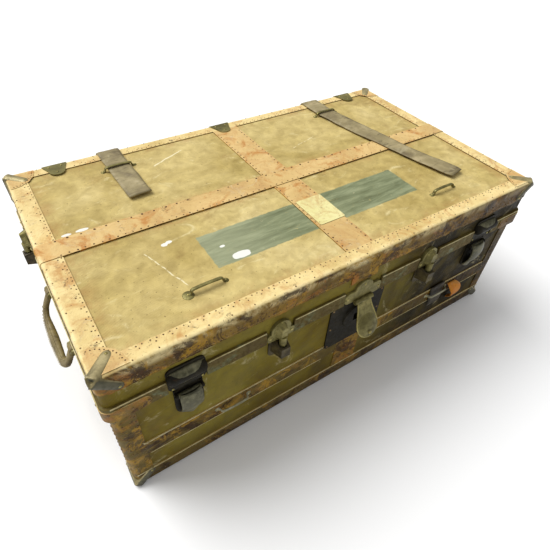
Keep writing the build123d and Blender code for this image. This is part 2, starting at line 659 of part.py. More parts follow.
with BuildPart() as hinge_body_leaves:
    for strip in body_leaf_strips:
        add(strip)
    for centre in HINGE_CENTRES:
        add(hinge_barrel(centre, -HALF_STRAP - 1, -THIRD, KNUCKLE_RADIUS + KNUCKLE_GAP),
            mode=Mode.SUBTRACT)
        add(hinge_barrel(centre, THIRD, HALF_STRAP + 1, KNUCKLE_RADIUS + KNUCKLE_GAP),
            mode=Mode.SUBTRACT)
        add(hinge_barrel(centre, -THIRD, THIRD, KNUCKLE_RADIUS))
    for centre in HINGE_CENTRES:
        add(hinge_barrel(centre, -FAR, FAR, HINGE_PIN_RADIUS + RUNNING_FIT),
            mode=Mode.SUBTRACT)
write(hinge_body_leaves, "hinge_body_leaves")

with BuildPart() as hinge_pins:
    for centre in HINGE_CENTRES:
        for head_low in (-HALF_STRAP - 2 - FIT, HALF_STRAP + FIT):
            add(hinge_barrel(centre, head_low, head_low + 2, 1.6 * HINGE_PIN_RADIUS))
        add(hinge_barrel(centre, -HALF_STRAP - FIT, HALF_STRAP + FIT, HINGE_PIN_RADIUS))
write(hinge_pins, "hinge_pins")

# Hasp plate with its barrel lugs, the hasp's pin and the hasp itself, which hangs a little open
HASP_THIRD = HASP_BARREL_LENGTH / 3 / 2


def hasp_barrel(x_low, x_high, radius):
    """A round bar on the hasp's axis."""
    with BuildPart() as barrel:
        with BuildSketch(Plane.YZ.offset(LOCK_X + x_low)):
            with Locations((-HASP_AXIS_Y, HASP_AXIS_Z)):
                Circle(radius)
        extrude(amount=x_high - x_low)
    return barrel.part


hasp_clearance = hasp_barrel(-HASP_THIRD - KNUCKLE_GAP, HASP_THIRD + KNUCKLE_GAP,
                             HASP_BARREL_RADIUS + KNUCKLE_GAP)
hasp_bore = hasp_barrel(-FAR, FAR, HASP_PIN_RADIUS + RUNNING_FIT)
with BuildPart() as hasp_plate:
    with BuildSketch(Plane.XZ.offset(LID_FACE_Y)):
        with Locations((LOCK_X, LID_BASE)):
            add(hasp_plate_outline())
    extrude(amount=HASP_PLATE[2])
    fillet(hasp_plate.faces().sort_by(Axis.Y)[0].edges(), HASP_PLATE[2] / 3)
    add(hasp_barrel(-HASP_BARREL_LENGTH / 2, HASP_BARREL_LENGTH / 2, HASP_BARREL_RADIUS))
    add(hasp_clearance, mode=Mode.SUBTRACT)
    add(hasp_bore, mode=Mode.SUBTRACT)
write(hasp_plate, "hasp_plate")

with BuildPart() as hasp_pin:
    add(hasp_barrel(-HASP_BARREL_LENGTH / 2 - 1, HASP_BARREL_LENGTH / 2 + 1, HASP_PIN_RADIUS))
write(hasp_pin, "hasp_pin")

open_angle = math.radians(HASP_STANDS_OPEN)
hasp_frame = Plane(
    origin=(LOCK_X, -HASP_AXIS_Y, HASP_AXIS_Z), x_dir=(1, 0, 0),
    z_dir=(0, -math.cos(open_angle), math.sin(open_angle)))
BULB_Y = -(HASP_LENGTH - HASP_BULB_RADIUS)
CROWN_SPHERE = HASP_BULB_RADIUS ** 2 / (2 * HASP_CROWN) + HASP_CROWN / 2


def hasp_outline(shrink):
    """The pear outline of the hasp, taken in by an even margin."""
    with BuildSketch(hasp_frame) as outline:
        with BuildLine():
            neck = HASP_NECK / 2 - shrink
            bulb = HASP_BULB_RADIUS - shrink
            foot = Line((-neck, -shrink), (neck, -shrink))
            right = Spline(foot @ 1, (neck, BULB_Y * 0.35), (bulb, BULB_Y),
                           tangents=((0, -1), (0, -1)))
            bottom = ThreePointArc(right @ 1, (0, BULB_Y - bulb), (-bulb, BULB_Y))
            Spline(bottom @ 1, (-neck, BULB_Y * 0.35), foot @ 0, tangents=((0, 1), (0, 1)))
        make_face()
    return outline.sketch


def crowned(outline, radius, depth):
    """A plate of the given outline under a round crown over its bulb."""
    with BuildPart() as dome:
        with Locations(hasp_frame):
            with Locations((0, BULB_Y, HASP_SHEET + HASP_CROWN - CROWN_SPHERE)):
                Sphere(radius)
    with BuildPart() as plate:
        add(outline)
        extrude(amount=depth, dir=hasp_frame.z_dir)
        add(dome.part, mode=Mode.INTERSECT)
    return plate.part


hasp_crown = crowned(hasp_outline(0), CROWN_SPHERE, HASP_CROWN + HASP_SHEET)
hasp_hollow = crowned(hasp_outline(HASP_SHEET), CROWN_SPHERE - HASP_SHEET, HASP_CROWN)
hasp_tongue = hasp_barrel(-HASP_THIRD, HASP_THIRD, HASP_BARREL_RADIUS)
with BuildPart() as hasp:
    add(hasp_outline(0))
    extrude(amount=HASP_SHEET, dir=hasp_frame.z_dir)
    add(hasp_crown)
    add(hasp_hollow, mode=Mode.SUBTRACT)
    with Locations(hasp_frame):
        with Locations((0, BULB_Y, (HASP_CROWN + HASP_SHEET / 2) / 2)):
            Box(SLOT[0] * 0.6, SLOT[1] * 0.7, HASP_CROWN + HASP_SHEET / 2)
        with Locations((0, BULB_Y, -STAPLE_REACH / 2)):
            Box(STAPLE_WIRE * 2, SLOT[1] * 0.7, STAPLE_REACH)
        with Locations((0, BULB_Y, -STAPLE_REACH / 2)):
            Box(STAPLE_WIRE * 3, SLOT[1] * 0.3, STAPLE_REACH * 0.4, mode=Mode.SUBTRACT)
        with Locations((0, BULB_Y - HASP_BULB_RADIUS * 0.45, HASP_SHEET + HASP_CROWN * 0.6)):
            Cylinder(STAPLE_WIRE * 1.4, HASP_CROWN)
    add(hasp_barrel(-FAR, -HASP_THIRD, HASP_BARREL_RADIUS + KNUCKLE_GAP), mode=Mode.SUBTRACT)
    add(hasp_barrel(HASP_THIRD, FAR, HASP_BARREL_RADIUS + KNUCKLE_GAP), mode=Mode.SUBTRACT)
    add(hasp_tongue)
    add(hasp_bore, mode=Mode.SUBTRACT)
write(hasp, "hasp")

# Lock plate with its raised boss and slot, and the lock case let into the front board
with BuildPart() as lock_plate:
    with BuildSketch(Plane.XZ.offset(BODY_FACE_Y)):
        with Locations((LOCK_X, LOCK_PLATE_Z)):
            RectangleRounded(LOCK_PLATE[0], LOCK_PLATE[1], LOCK_PLATE_CORNER)
    extrude(amount=LOCK_PLATE[2])
    with BuildSketch(Plane.XZ.offset(BODY_FACE_Y + LOCK_PLATE[2])):
        with Locations((LOCK_X, HASP_AXIS_Z + BULB_Y)):
            Circle(LOCK_BOSS_RADIUS)
    extrude(amount=LOCK_BOSS_RISE, taper=30)
    with BuildSketch(Plane.XZ):
        with Locations((LOCK_X, HASP_AXIS_Z + BULB_Y)):
            Rectangle(SLOT[0], SLOT[1])
    extrude(amount=FAR, mode=Mode.SUBTRACT)
write(lock_plate, "lock_plate")

with BuildPart() as lock_case:
    with BuildSketch(Plane.XZ.offset(INNER_Y + FIT)):
        with Locations((LOCK_X, LOCK_PLATE_Z)):
            Rectangle(LOCK_CASE[0], LOCK_CASE[1])
    extrude(amount=BODY_FACE_Y - INNER_Y - FIT)
    with BuildSketch(Plane.XZ.offset(BODY_FACE_Y - STAPLE_REACH)):
        with Locations((LOCK_X, HASP_AXIS_Z + BULB_Y)):
            Rectangle(SLOT[0], SLOT[1])
    extrude(amount=FAR, mode=Mode.SUBTRACT)
write(lock_case, "lock_case")


# Draw latches: a hood on the lid, and on the body a base, a pin and a curved lever

def latch_bar(centre, x_low, x_high, radius):
    """A round bar on the lever's axis."""
    with BuildPart() as bar:
        with BuildSketch(Plane.YZ.offset(centre + x_low)):
            with Locations((-LEVER_AXIS_Y, LEVER_AXIS_Z)):
                Circle(radius)
        extrude(amount=x_high - x_low)
    return bar.part


HOOD_Z = LID_BASE + LATCH_HOOD[1] * 0.62
HOOD_ROOT = -LID_FACE_Y - LATCH_HOOD[2]
with BuildPart() as latch_hoods:
    for centre in (-LATCH_X, LATCH_X):
        with BuildSketch(Plane.XZ.offset(LID_FACE_Y)):
            with Locations((centre, LID_BASE + LATCH_HOOD[1] / 2)):
                RectangleRounded(LATCH_HOOD[0], LATCH_HOOD[1], LATCH_HOOD[1] / 5)
        extrude(amount=LATCH_HOOD[2])
        with BuildSketch(Plane.XY.offset(HOOD_Z)):
            with Locations((centre, HOOD_ROOT)):
                RectangleRounded(LATCH_HOOD[0], 2 * HOOD_RADIUS, HOOD_RADIUS * 0.6)
            with Locations((centre, HOOD_ROOT + HOOD_RADIUS)):
                Rectangle(2 * LATCH_HOOD[0], 2 * HOOD_RADIUS, mode=Mode.SUBTRACT)
        revolve(axis=Axis((centre, HOOD_ROOT, HOOD_Z), (1, 0, 0)), revolution_arc=360)
    add(upright_box((-FAR, FAR), (-LID_FACE_Y, FAR), (0, FAR)), mode=Mode.SUBTRACT)
write(latch_hoods, "latch_hoods")

LATCH_BASE_Z = SEAM - 2 - LATCH_BASE[1] / 2
EAR_INSIDE = LEVER_WIDTH / 2 + KNUCKLE_GAP
with BuildPart() as latch_bases:
    for centre in (-LATCH_X, LATCH_X):
        with BuildSketch(Plane.XZ.offset(BODY_FACE_Y)):
            with Locations((centre, LATCH_BASE_Z)):
                RectangleRounded(LATCH_BASE[0], LATCH_BASE[1], LATCH_BASE[0] * 0.4)
            with Locations((centre, LEVER_AXIS_Z)):
                Rectangle(LATCH_BASE[0], 4 * LEVER_BARREL_RADIUS)
        extrude(amount=LATCH_BASE[2])
        for ear_low in (-EAR_INSIDE - LEVER_EAR, EAR_INSIDE):
            add(latch_bar(centre, ear_low, ear_low + LEVER_EAR, LEVER_BARREL_RADIUS))
            with BuildSketch(Plane.YZ.offset(centre + ear_low)):
                with Locations(((-LEVER_AXIS_Y - BODY_FACE_Y) / 2, LEVER_AXIS_Z)):
                    Rectangle(LEVER_AXIS_Y - BODY_FACE_Y, 2 * LEVER_BARREL_RADIUS)
            extrude(amount=LEVER_EAR)
        add(latch_bar(centre, -EAR_INSIDE - LEVER_EAR, EAR_INSIDE + LEVER_EAR,
                      LEVER_PIN_RADIUS + RUNNING_FIT), mode=Mode.SUBTRACT)
write(latch_bases, "latch_bases")

with BuildPart() as latch_pins:
    for centre in (-LATCH_X, LATCH_X):
        add(latch_bar(centre, -EAR_INSIDE - LEVER_EAR - 1, EAR_INSIDE + LEVER_EAR + 1,
                      LEVER_PIN_RADIUS))
write(latch_pins, "latch_pins")

for name, centre in (("latch_lever_left", -LATCH_X), ("latch_lever_right", LATCH_X)):
    with BuildPart() as lever_mask:
        with BuildSketch(Plane.XZ) as mask_outline:
            with Locations((centre, LEVER_AXIS_Z - LEVER_LENGTH / 2)):
                Rectangle(LEVER_WIDTH, LEVER_LENGTH + 2 * LEVER_BARREL_RADIUS)
            fillet(mask_outline.vertices().group_by(Axis.Y)[0], LEVER_WIDTH * 0.4)
        extrude(amount=FAR)
    with BuildPart() as lever:
        with BuildSketch(Plane.YZ.offset(centre - LEVER_WIDTH / 2)):
            with BuildLine():
                outer = ThreePointArc(
                    (-LEVER_AXIS_Y, LEVER_AXIS_Z + LEVER_BARREL_RADIUS),
                    (-LEVER_AXIS_Y - LEVER_BULGE, LEVER_AXIS_Z - LEVER_LENGTH * 0.45),
                    (-BODY_FACE_Y - LATCH_BASE[2] - LEVER_SHEET,
                     LEVER_AXIS_Z - LEVER_LENGTH))
                offset(outer, amount=LEVER_SHEET, side=Side.LEFT)
            make_face()
        extrude(amount=LEVER_WIDTH)
        add(lever_mask.part, mode=Mode.INTERSECT)
        add(latch_bar(centre, -LEVER_WIDTH / 2, LEVER_WIDTH / 2, LEVER_BARREL_RADIUS))
        add(latch_bar(centre, -FAR, FAR, LEVER_PIN_RADIUS + RUNNING_FIT), mode=Mode.SUBTRACT)
    write(lever, name)


# Dowel catches: a plate and tapered peg on the lid, a cup on the body

def fitting_plane(place, face_x, face_y):
    """The plane of one fitting: its place is a name for the side and a value along it."""
    side, along = place
    if side == "front":
        return Plane(origin=(along, -face_y, 0), x_dir=(1, 0, 0), z_dir=(0, -1, 0))
    if side == "left":
        return Plane(origin=(-face_x, along, 0), x_dir=(0, -1, 0), z_dir=(-1, 0, 0))
    return Plane(origin=(face_x, along, 0), x_dir=(0, 1, 0), z_dir=(1, 0, 0))


DOWEL_PLACES = (("front", -DOWEL_X), ("front", DOWEL_X), ("left", END_DOWEL_Y),
                ("right", END_DOWEL_Y))


def dowel_piece(place):
    """The lid's half of one catch."""
    plane = fitting_plane(place, LID_FACE_X, LID_FACE_Y)
    with BuildPart() as piece:
        with BuildSketch(plane):
            with Locations((0, LID_BASE)):
                add(dowel_plate_outline())
        extrude(amount=DOWEL_PLATE[2])
        with BuildSketch(plane.offset(DOWEL_PLATE[2])):
            with Locations((0, LID_BASE + DOWEL_PLATE[1] * 0.5)):
                SlotOverall(DOWEL_PLATE[1] * 0.86, 2.4 * DOWEL_RADIUS, rotation=90)
        extrude(amount=DOWEL_BULGE, taper=24)
    peg_origin = plane.from_local_coords((0, LID_BASE, DOWEL_PROUD))
    with BuildPart() as whole:
        add(piece.part)
        with BuildSketch(Plane(origin=(peg_origin.X, peg_origin.Y, LID_BASE + PEG_ROOT))):
            Circle(PEG_RADIUS)
        extrude(amount=PEG_TIP - PEG_ROOT - DOWEL_REACH)
        with BuildSketch(Plane(origin=(peg_origin.X, peg_origin.Y,
                                       LID_BASE + PEG_TIP - DOWEL_REACH))):
            Circle(PEG_RADIUS)
        extrude(amount=-PEG_TIP, taper=9)
    return whole.part


def socket_piece(place):
    """The body's half of one catch, a cup with its mouth at the seam."""
    plane = fitting_plane(place, BODY_FACE_X, BODY_FACE_Y)
    reach = DOWEL_PROUD + BODY_INSET
    cup_top = SEAM - SOCKET_BELOW_SEAM
    mouth = plane.from_local_coords((0, cup_top, reach))
    with BuildPart() as piece:
        with BuildSketch(plane):
            with Locations((0, cup_top - SOCKET_DEPTH / 2)):
                RectangleRounded(2 * SOCKET_RADIUS, SOCKET_DEPTH, SOCKET_RADIUS * 0.5)
        extrude(amount=SOCKET_WALL)
        with BuildSketch(plane):
            with Locations((0, cup_top - SOCKET_DEPTH * 0.4)):
                RectangleRounded(SOCKET_RADIUS * 1.6, SOCKET_DEPTH * 0.8, SOCKET_RADIUS * 0.4)
        extrude(amount=reach + SOCKET_RADIUS * 0.55, taper=14)
        with BuildSketch(Plane(origin=(mouth.X, mouth.Y, SEAM))):
            Circle(PEG_RADIUS + DOWEL_PLAY)
        extrude(amount=-DOWEL_REACH - 2 * DOWEL_PLAY, mode=Mode.SUBTRACT)
        with BuildSketch(Plane.XY.offset(cup_top)):
            Rectangle(FAR, FAR)
        extrude(amount=SOCKET_DEPTH, mode=Mode.SUBTRACT)
    return piece.part


dowel_halves = [dowel_piece(place) for place in DOWEL_PLACES]
socket_halves = [socket_piece(place) for place in DOWEL_PLACES]
with BuildPart() as lid_dowels:
    for half in dowel_halves:
        add(half)
write(lid_dowels, "lid_dowels")

with BuildPart() as dowel_sockets:
    for half in socket_halves:
        add(half)
write(dowel_sockets, "dowel_sockets")


# Strap keepers: a raised bridge between two riveted ears

def keeper(plane):
    """One keeper, its bridge along the plane's X."""
    half = KEEPER_SPAN / 2
    with BuildPart() as loop:
        profile = Plane(origin=plane.from_local_coords((0, -KEEPER_WIDTH / 2, 0)),
                        x_dir=plane.x_dir, z_dir=plane.y_dir)
        with BuildSketch(profile):
            with BuildLine():
                path = FilletPolyline(
                    (-half - KEEPER_EAR, 0), (-half, 0), (-half + KEEPER_FLARE, -KEEPER_RISE),
                    (half - KEEPER_FLARE, -KEEPER_RISE), (half, 0), (half + KEEPER_EAR, 0),
                    radius=KEEPER_METAL / 2)
                offset(path, amount=KEEPER_METAL, side=Side.RIGHT)
            make_face()
        extrude(amount=KEEPER_WIDTH)
        corners = loop.edges().filter_by(Axis(plane.origin, plane.z_dir)).filter_by(
            lambda edge: abs(plane.to_local_coords(edge.center()).X) > half + KEEPER_EAR - 1)
        fillet(corners, KEEPER_WIDTH / 2 - 0.2)
    return loop.part


LID_KEEPER_PLACES = ((-STRAP_X, -KEEPER_Y), (STRAP_X, -KEEPER_Y),
                     (-STRAP_X, KEEPER_Y), (STRAP_X, KEEPER_Y))
lid_keeper_loops = [
    keeper(Plane(origin=(x, y, LID_FACE_Z), x_dir=(1, 0, 0), z_dir=(0, 0, 1)))
    for x, y in LID_KEEPER_PLACES]
front_keeper_loops = [
    keeper(Plane(origin=(x, -BODY_FACE_Y - HIDE, FRONT_KEEPER_HEIGHT), x_dir=(1, 0, 0),
                 z_dir=(0, -1, 0))) for x in (-STRAP_X, STRAP_X)]
with BuildPart() as lid_keepers:
    for loop in lid_keeper_loops:
        add(loop)
write(lid_keepers, "lid_keepers")

with BuildPart() as front_keepers:
    for loop in front_keeper_loops:
        add(loop)
write(front_keepers, "front_keepers")

# Leather straps: each is nailed to the back of the lid and comes over its top edge
STRAP_REST = 0.3
strap_low = TRUNK_HEIGHT + LONG_BAND_RISE + STRAP_REST
STRAP_BACK = BINDING_Y + STRAP_REST
strap_back_line = [(STRAP_BACK, TRUNK_HEIGHT - STRAP_TAIL), (STRAP_BACK, strap_low)]
STRAP_BEND = EDGE_RADIUS
left_strap_strip = bent_strip(
    strap_back_line + [(LEFT_STRAP_END, strap_low)],
    STRAP_BEND, STRAP, False, -STRAP_X, STRAP_WIDTH)
right_strap_back = bent_strip(
    strap_back_line + [(KEEPER_Y - KEEPER_WIDTH, strap_low)],
    STRAP_BEND, STRAP, False, STRAP_X, STRAP_WIDTH)

with BuildPart() as strap_left:
    add(left_strap_strip)
write(strap_left, "strap_left")

with BuildPart() as strap_right:
    add(right_strap_back)
    with BuildSketch(Plane.XY.offset(strap_low)):
        with BuildLine():
            start_y = KEEPER_Y - KEEPER_WIDTH
            end_x = STRAP_X + RIGHT_STRAP_DRIFT
            slant = math.atan2(RIGHT_STRAP_DRIFT, start_y - RIGHT_STRAP_END)
            across = STRAP_WIDTH / 2 * math.cos(slant)
            along = STRAP_WIDTH / 2 * math.sin(slant)
            Polyline((STRAP_X - STRAP_WIDTH / 2, start_y), (STRAP_X + STRAP_WIDTH / 2, start_y),
                     (end_x + across, RIGHT_STRAP_END + along),
                     (end_x - across, RIGHT_STRAP_END - along),
                     (STRAP_X - STRAP_WIDTH / 2, start_y))
        make_face()
    extrude(amount=STRAP)
write(strap_right, "strap_right")

STUB_FRONT = BODY_FACE_Y + HIDE + STRAP_REST
with BuildPart() as strap_stub:
    with BuildSketch(Plane.XZ.offset(STUB_FRONT)):
        with Locations((STRAP_X, FRONT_KEEPER_HEIGHT - STRAP_STUB * 0.1)):
            RectangleRounded(STRAP_WIDTH, STRAP_STUB, STRAP_WIDTH / 6)
    extrude(amount=STRAP)
write(strap_stub, "strap_stub")


# End handles: riveted brackets with pins, and a leather grip that swings on them

def handle_bar(side, y_low, y_high, radius):
    """A round bar on the axis of one handle, side -1 for the left end."""
    with BuildPart() as bar:
        with BuildSketch(Plane(origin=(side * HANDLE_AXIS_X, y_low, HANDLE_HEIGHT),
                               x_dir=(1, 0, 0), z_dir=(0, 1, 0))):
            Circle(radius)
        extrude(amount=y_high - y_low)
    return bar.part


EYE_Y = HANDLE_SPAN / 2
HALF_EYE = HANDLE_EYE_WIDTH / 2
with BuildPart() as handle_brackets:
    for side in (-1, 1):
        for place in (-EYE_Y, EYE_Y):
            with BuildSketch(Plane(origin=(side * BODY_FACE_X, place, HANDLE_HEIGHT),
                                   x_dir=(0, side, 0), z_dir=(side, 0, 0))):
                RectangleRounded(HANDLE_PLATE[0], HANDLE_PLATE[1], HANDLE_PLATE[0] / 3)
            extrude(amount=HANDLE_PLATE[2])
            for lug_low in (place - HALF_EYE - KNUCKLE_GAP - HANDLE_LUG,
                            place + HALF_EYE + KNUCKLE_GAP):
                with BuildSketch(Plane(origin=(0, lug_low, 0), x_dir=(1, 0, 0),
                                       z_dir=(0, 1, 0))):
                    with Locations((side * HANDLE_AXIS_X, -HANDLE_HEIGHT)):
                        Circle(HANDLE_EYE_RADIUS * 0.8)
                    with Locations((side * (HANDLE_AXIS_X + BODY_FACE_X) / 2,
                                    -HANDLE_HEIGHT)):
                        Rectangle(HANDLE_AXIS_X - BODY_FACE_X, HANDLE_EYE_RADIUS * 1.6)
                extrude(amount=HANDLE_LUG)
            add(handle_bar(side, place - HALF_EYE - 1, place + HALF_EYE + 1,
                           HANDLE_PIN_RADIUS))
write(handle_brackets, "handle_brackets")

slope = math.radians(HANDLE_SLOPE)
for name, side in (("handle_left", -1), ("handle_right", 1)):
    grip_plane = Plane(
        origin=(side * HANDLE_AXIS_X, 0, HANDLE_HEIGHT), x_dir=(0, 1, 0),
        z_dir=(math.cos(slope), 0, side * math.sin(slope)))
    down = -1 if grip_plane.y_dir.Z > 0 else 1
    with BuildPart() as grip:
        with BuildLine(grip_plane):
            path = FilletPolyline(
                (-EYE_Y, 0), (-EYE_Y, down * HANDLE_DROP), (EYE_Y, down * HANDLE_DROP),
                (EYE_Y, 0), radius=HANDLE_DROP * 0.55)
        with BuildSketch(Plane(origin=path @ 0, x_dir=grip_plane.z_dir, z_dir=path % 0)):
            RectangleRounded(HANDLE_GRIP[1], HANDLE_EYE_WIDTH, HANDLE_GRIP[1] * 0.35)
        sweep(path=path)
        for place in (-EYE_Y, EYE_Y):
            add(handle_bar(side, place - HALF_EYE, place + HALF_EYE, HANDLE_EYE_RADIUS))
            add(handle_bar(side, place - HALF_EYE, place + HALF_EYE,
                           HANDLE_PIN_RADIUS + RUNNING_FIT), mode=Mode.SUBTRACT)
    write(grip, name)

# Tray on two cleats, with a divider and pull loops
with BuildPart() as tray_cleats:
    for side in (-1, 1):
        with BuildSketch(Plane.XY.offset(TRAY_BASE - CLEAT[1])):
            with Locations((side * (INNER_X - LINING - CLEAT[0] / 2), 0)):
                Rectangle(CLEAT[0], 2 * (INNER_Y - LINING))
        extrude(amount=CLEAT[1])
        chamfer(tray_cleats.edges().filter_by(Axis.Y).group_by(Axis.Z)[0].sort_by(
            lambda edge: abs(edge.center().X))[:1], CLEAT[0] / 3)
write(tray_cleats, "tray_cleats")

with BuildPart() as tray_floor:
    with BuildSketch(Plane.XY.offset(TRAY_BASE)):
        Rectangle(2 * TRAY_X, 2 * TRAY_Y)
    extrude(amount=TRAY_FLOOR)
write(tray_floor, "tray_floor")

with BuildPart() as tray_walls:
    with BuildSketch(Plane.XY.offset(TRAY_BASE + TRAY_FLOOR)):
        Rectangle(2 * TRAY_X, 2 * TRAY_Y)
        Rectangle(2 * (TRAY_X - TRAY_WALL), 2 * (TRAY_Y - TRAY_WALL), mode=Mode.SUBTRACT)
    extrude(amount=TRAY_DEPTH - TRAY_FLOOR)
write(tray_walls, "tray_walls")

with BuildPart() as tray_divider:
    with BuildSketch(Plane.XY.offset(TRAY_BASE + TRAY_FLOOR)):
        with Locations((TRAY_DIVIDER_X, 0)):
            Rectangle(TRAY_WALL, 2 * (TRAY_Y - TRAY_WALL))
    extrude(amount=TRAY_DEPTH - TRAY_FLOOR - TRAY_WALL)
write(tray_divider, "tray_divider")

with BuildPart() as tray_pulls:
    for side in (-1, 1):
        with BuildSketch(Plane.XY.offset(TRAY_TOP - 2 * PULL_WIDTH)):
            with Locations((side * (TRAY_X - TRAY_WALL - PULL_THICKNESS / 2), 0)):
                Rectangle(PULL_THICKNESS, PULL_WIDTH)
        extrude(amount=2 * PULL_WIDTH - TRAY_WALL)
write(tray_pulls, "tray_pulls")
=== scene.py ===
import json
import math
import random

import bmesh
import bpy
from mathutils import Matrix, Vector, noise


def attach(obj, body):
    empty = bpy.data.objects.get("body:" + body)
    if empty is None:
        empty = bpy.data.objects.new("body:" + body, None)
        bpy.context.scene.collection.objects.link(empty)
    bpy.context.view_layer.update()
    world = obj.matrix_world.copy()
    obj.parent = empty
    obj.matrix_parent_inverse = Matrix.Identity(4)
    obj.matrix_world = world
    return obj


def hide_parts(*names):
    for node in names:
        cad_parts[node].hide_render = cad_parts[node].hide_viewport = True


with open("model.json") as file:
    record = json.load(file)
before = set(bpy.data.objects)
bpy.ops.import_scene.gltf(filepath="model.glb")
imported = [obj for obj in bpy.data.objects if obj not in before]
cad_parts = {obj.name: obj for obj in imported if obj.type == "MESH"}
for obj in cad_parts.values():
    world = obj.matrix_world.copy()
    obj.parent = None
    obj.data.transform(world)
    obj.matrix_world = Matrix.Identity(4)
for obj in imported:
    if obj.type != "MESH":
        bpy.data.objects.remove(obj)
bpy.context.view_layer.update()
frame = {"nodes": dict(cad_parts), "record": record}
nodes = frame["nodes"]
dice = random.Random(7)

# Sizes of the trunk in metres, as the source of the part has them
LID_X, LID_Y, TOP = 0.4575, 0.2625, 0.340
BODY_X, BODY_Y = 0.4545, 0.2595
CANVAS_X, CANVAS_Y, CANVAS_TOP = 0.4557, 0.2607, 0.3382
BODY_CANVAS_X, BODY_CANVAS_Y = 0.4527, 0.2577
VALANCE_X, VALANCE_Y, VALANCE_TOP = 0.4602, 0.2652, 0.2698

# Places of the fittings, the bands and the grips
STRAP_X, LATCH_X, DOWEL_X, HASP_X = 0.26, 0.336, 0.172, 0.005
HINGES = (-0.366, 0.0, 0.366)
END_DOWEL_Y = 0.164
LONG_BAND_Y, CROSS_BAND_X = 0.005, 0.003
GRIP_Y, GRIP_Z = 0.075, 0.196

# Directions that the faces look in
UP, FRONT, BACK = (0, 0, 1), (0, -1, 0), (0, 1, 0)


# Node trees: small helpers that keep each material readable

def rgb(red, green, blue):
    """A display colour as the linear colour that a socket takes."""
    out = []
    for value in (red, green, blue):
        share = value / 255
        out.append(share / 12.92 if share <= 0.04045 else ((share + 0.055) / 1.055) ** 2.4)
    return (*out, 1)


def shades(places, *colours):
    """Stops of a ramp: display colours at their places."""
    return [(place, rgb(*colour)) for place, colour in zip(places, colours)]


THREE = (0.3, 0.5, 0.7)
FOUR = (0.28, 0.45, 0.6, 0.75)


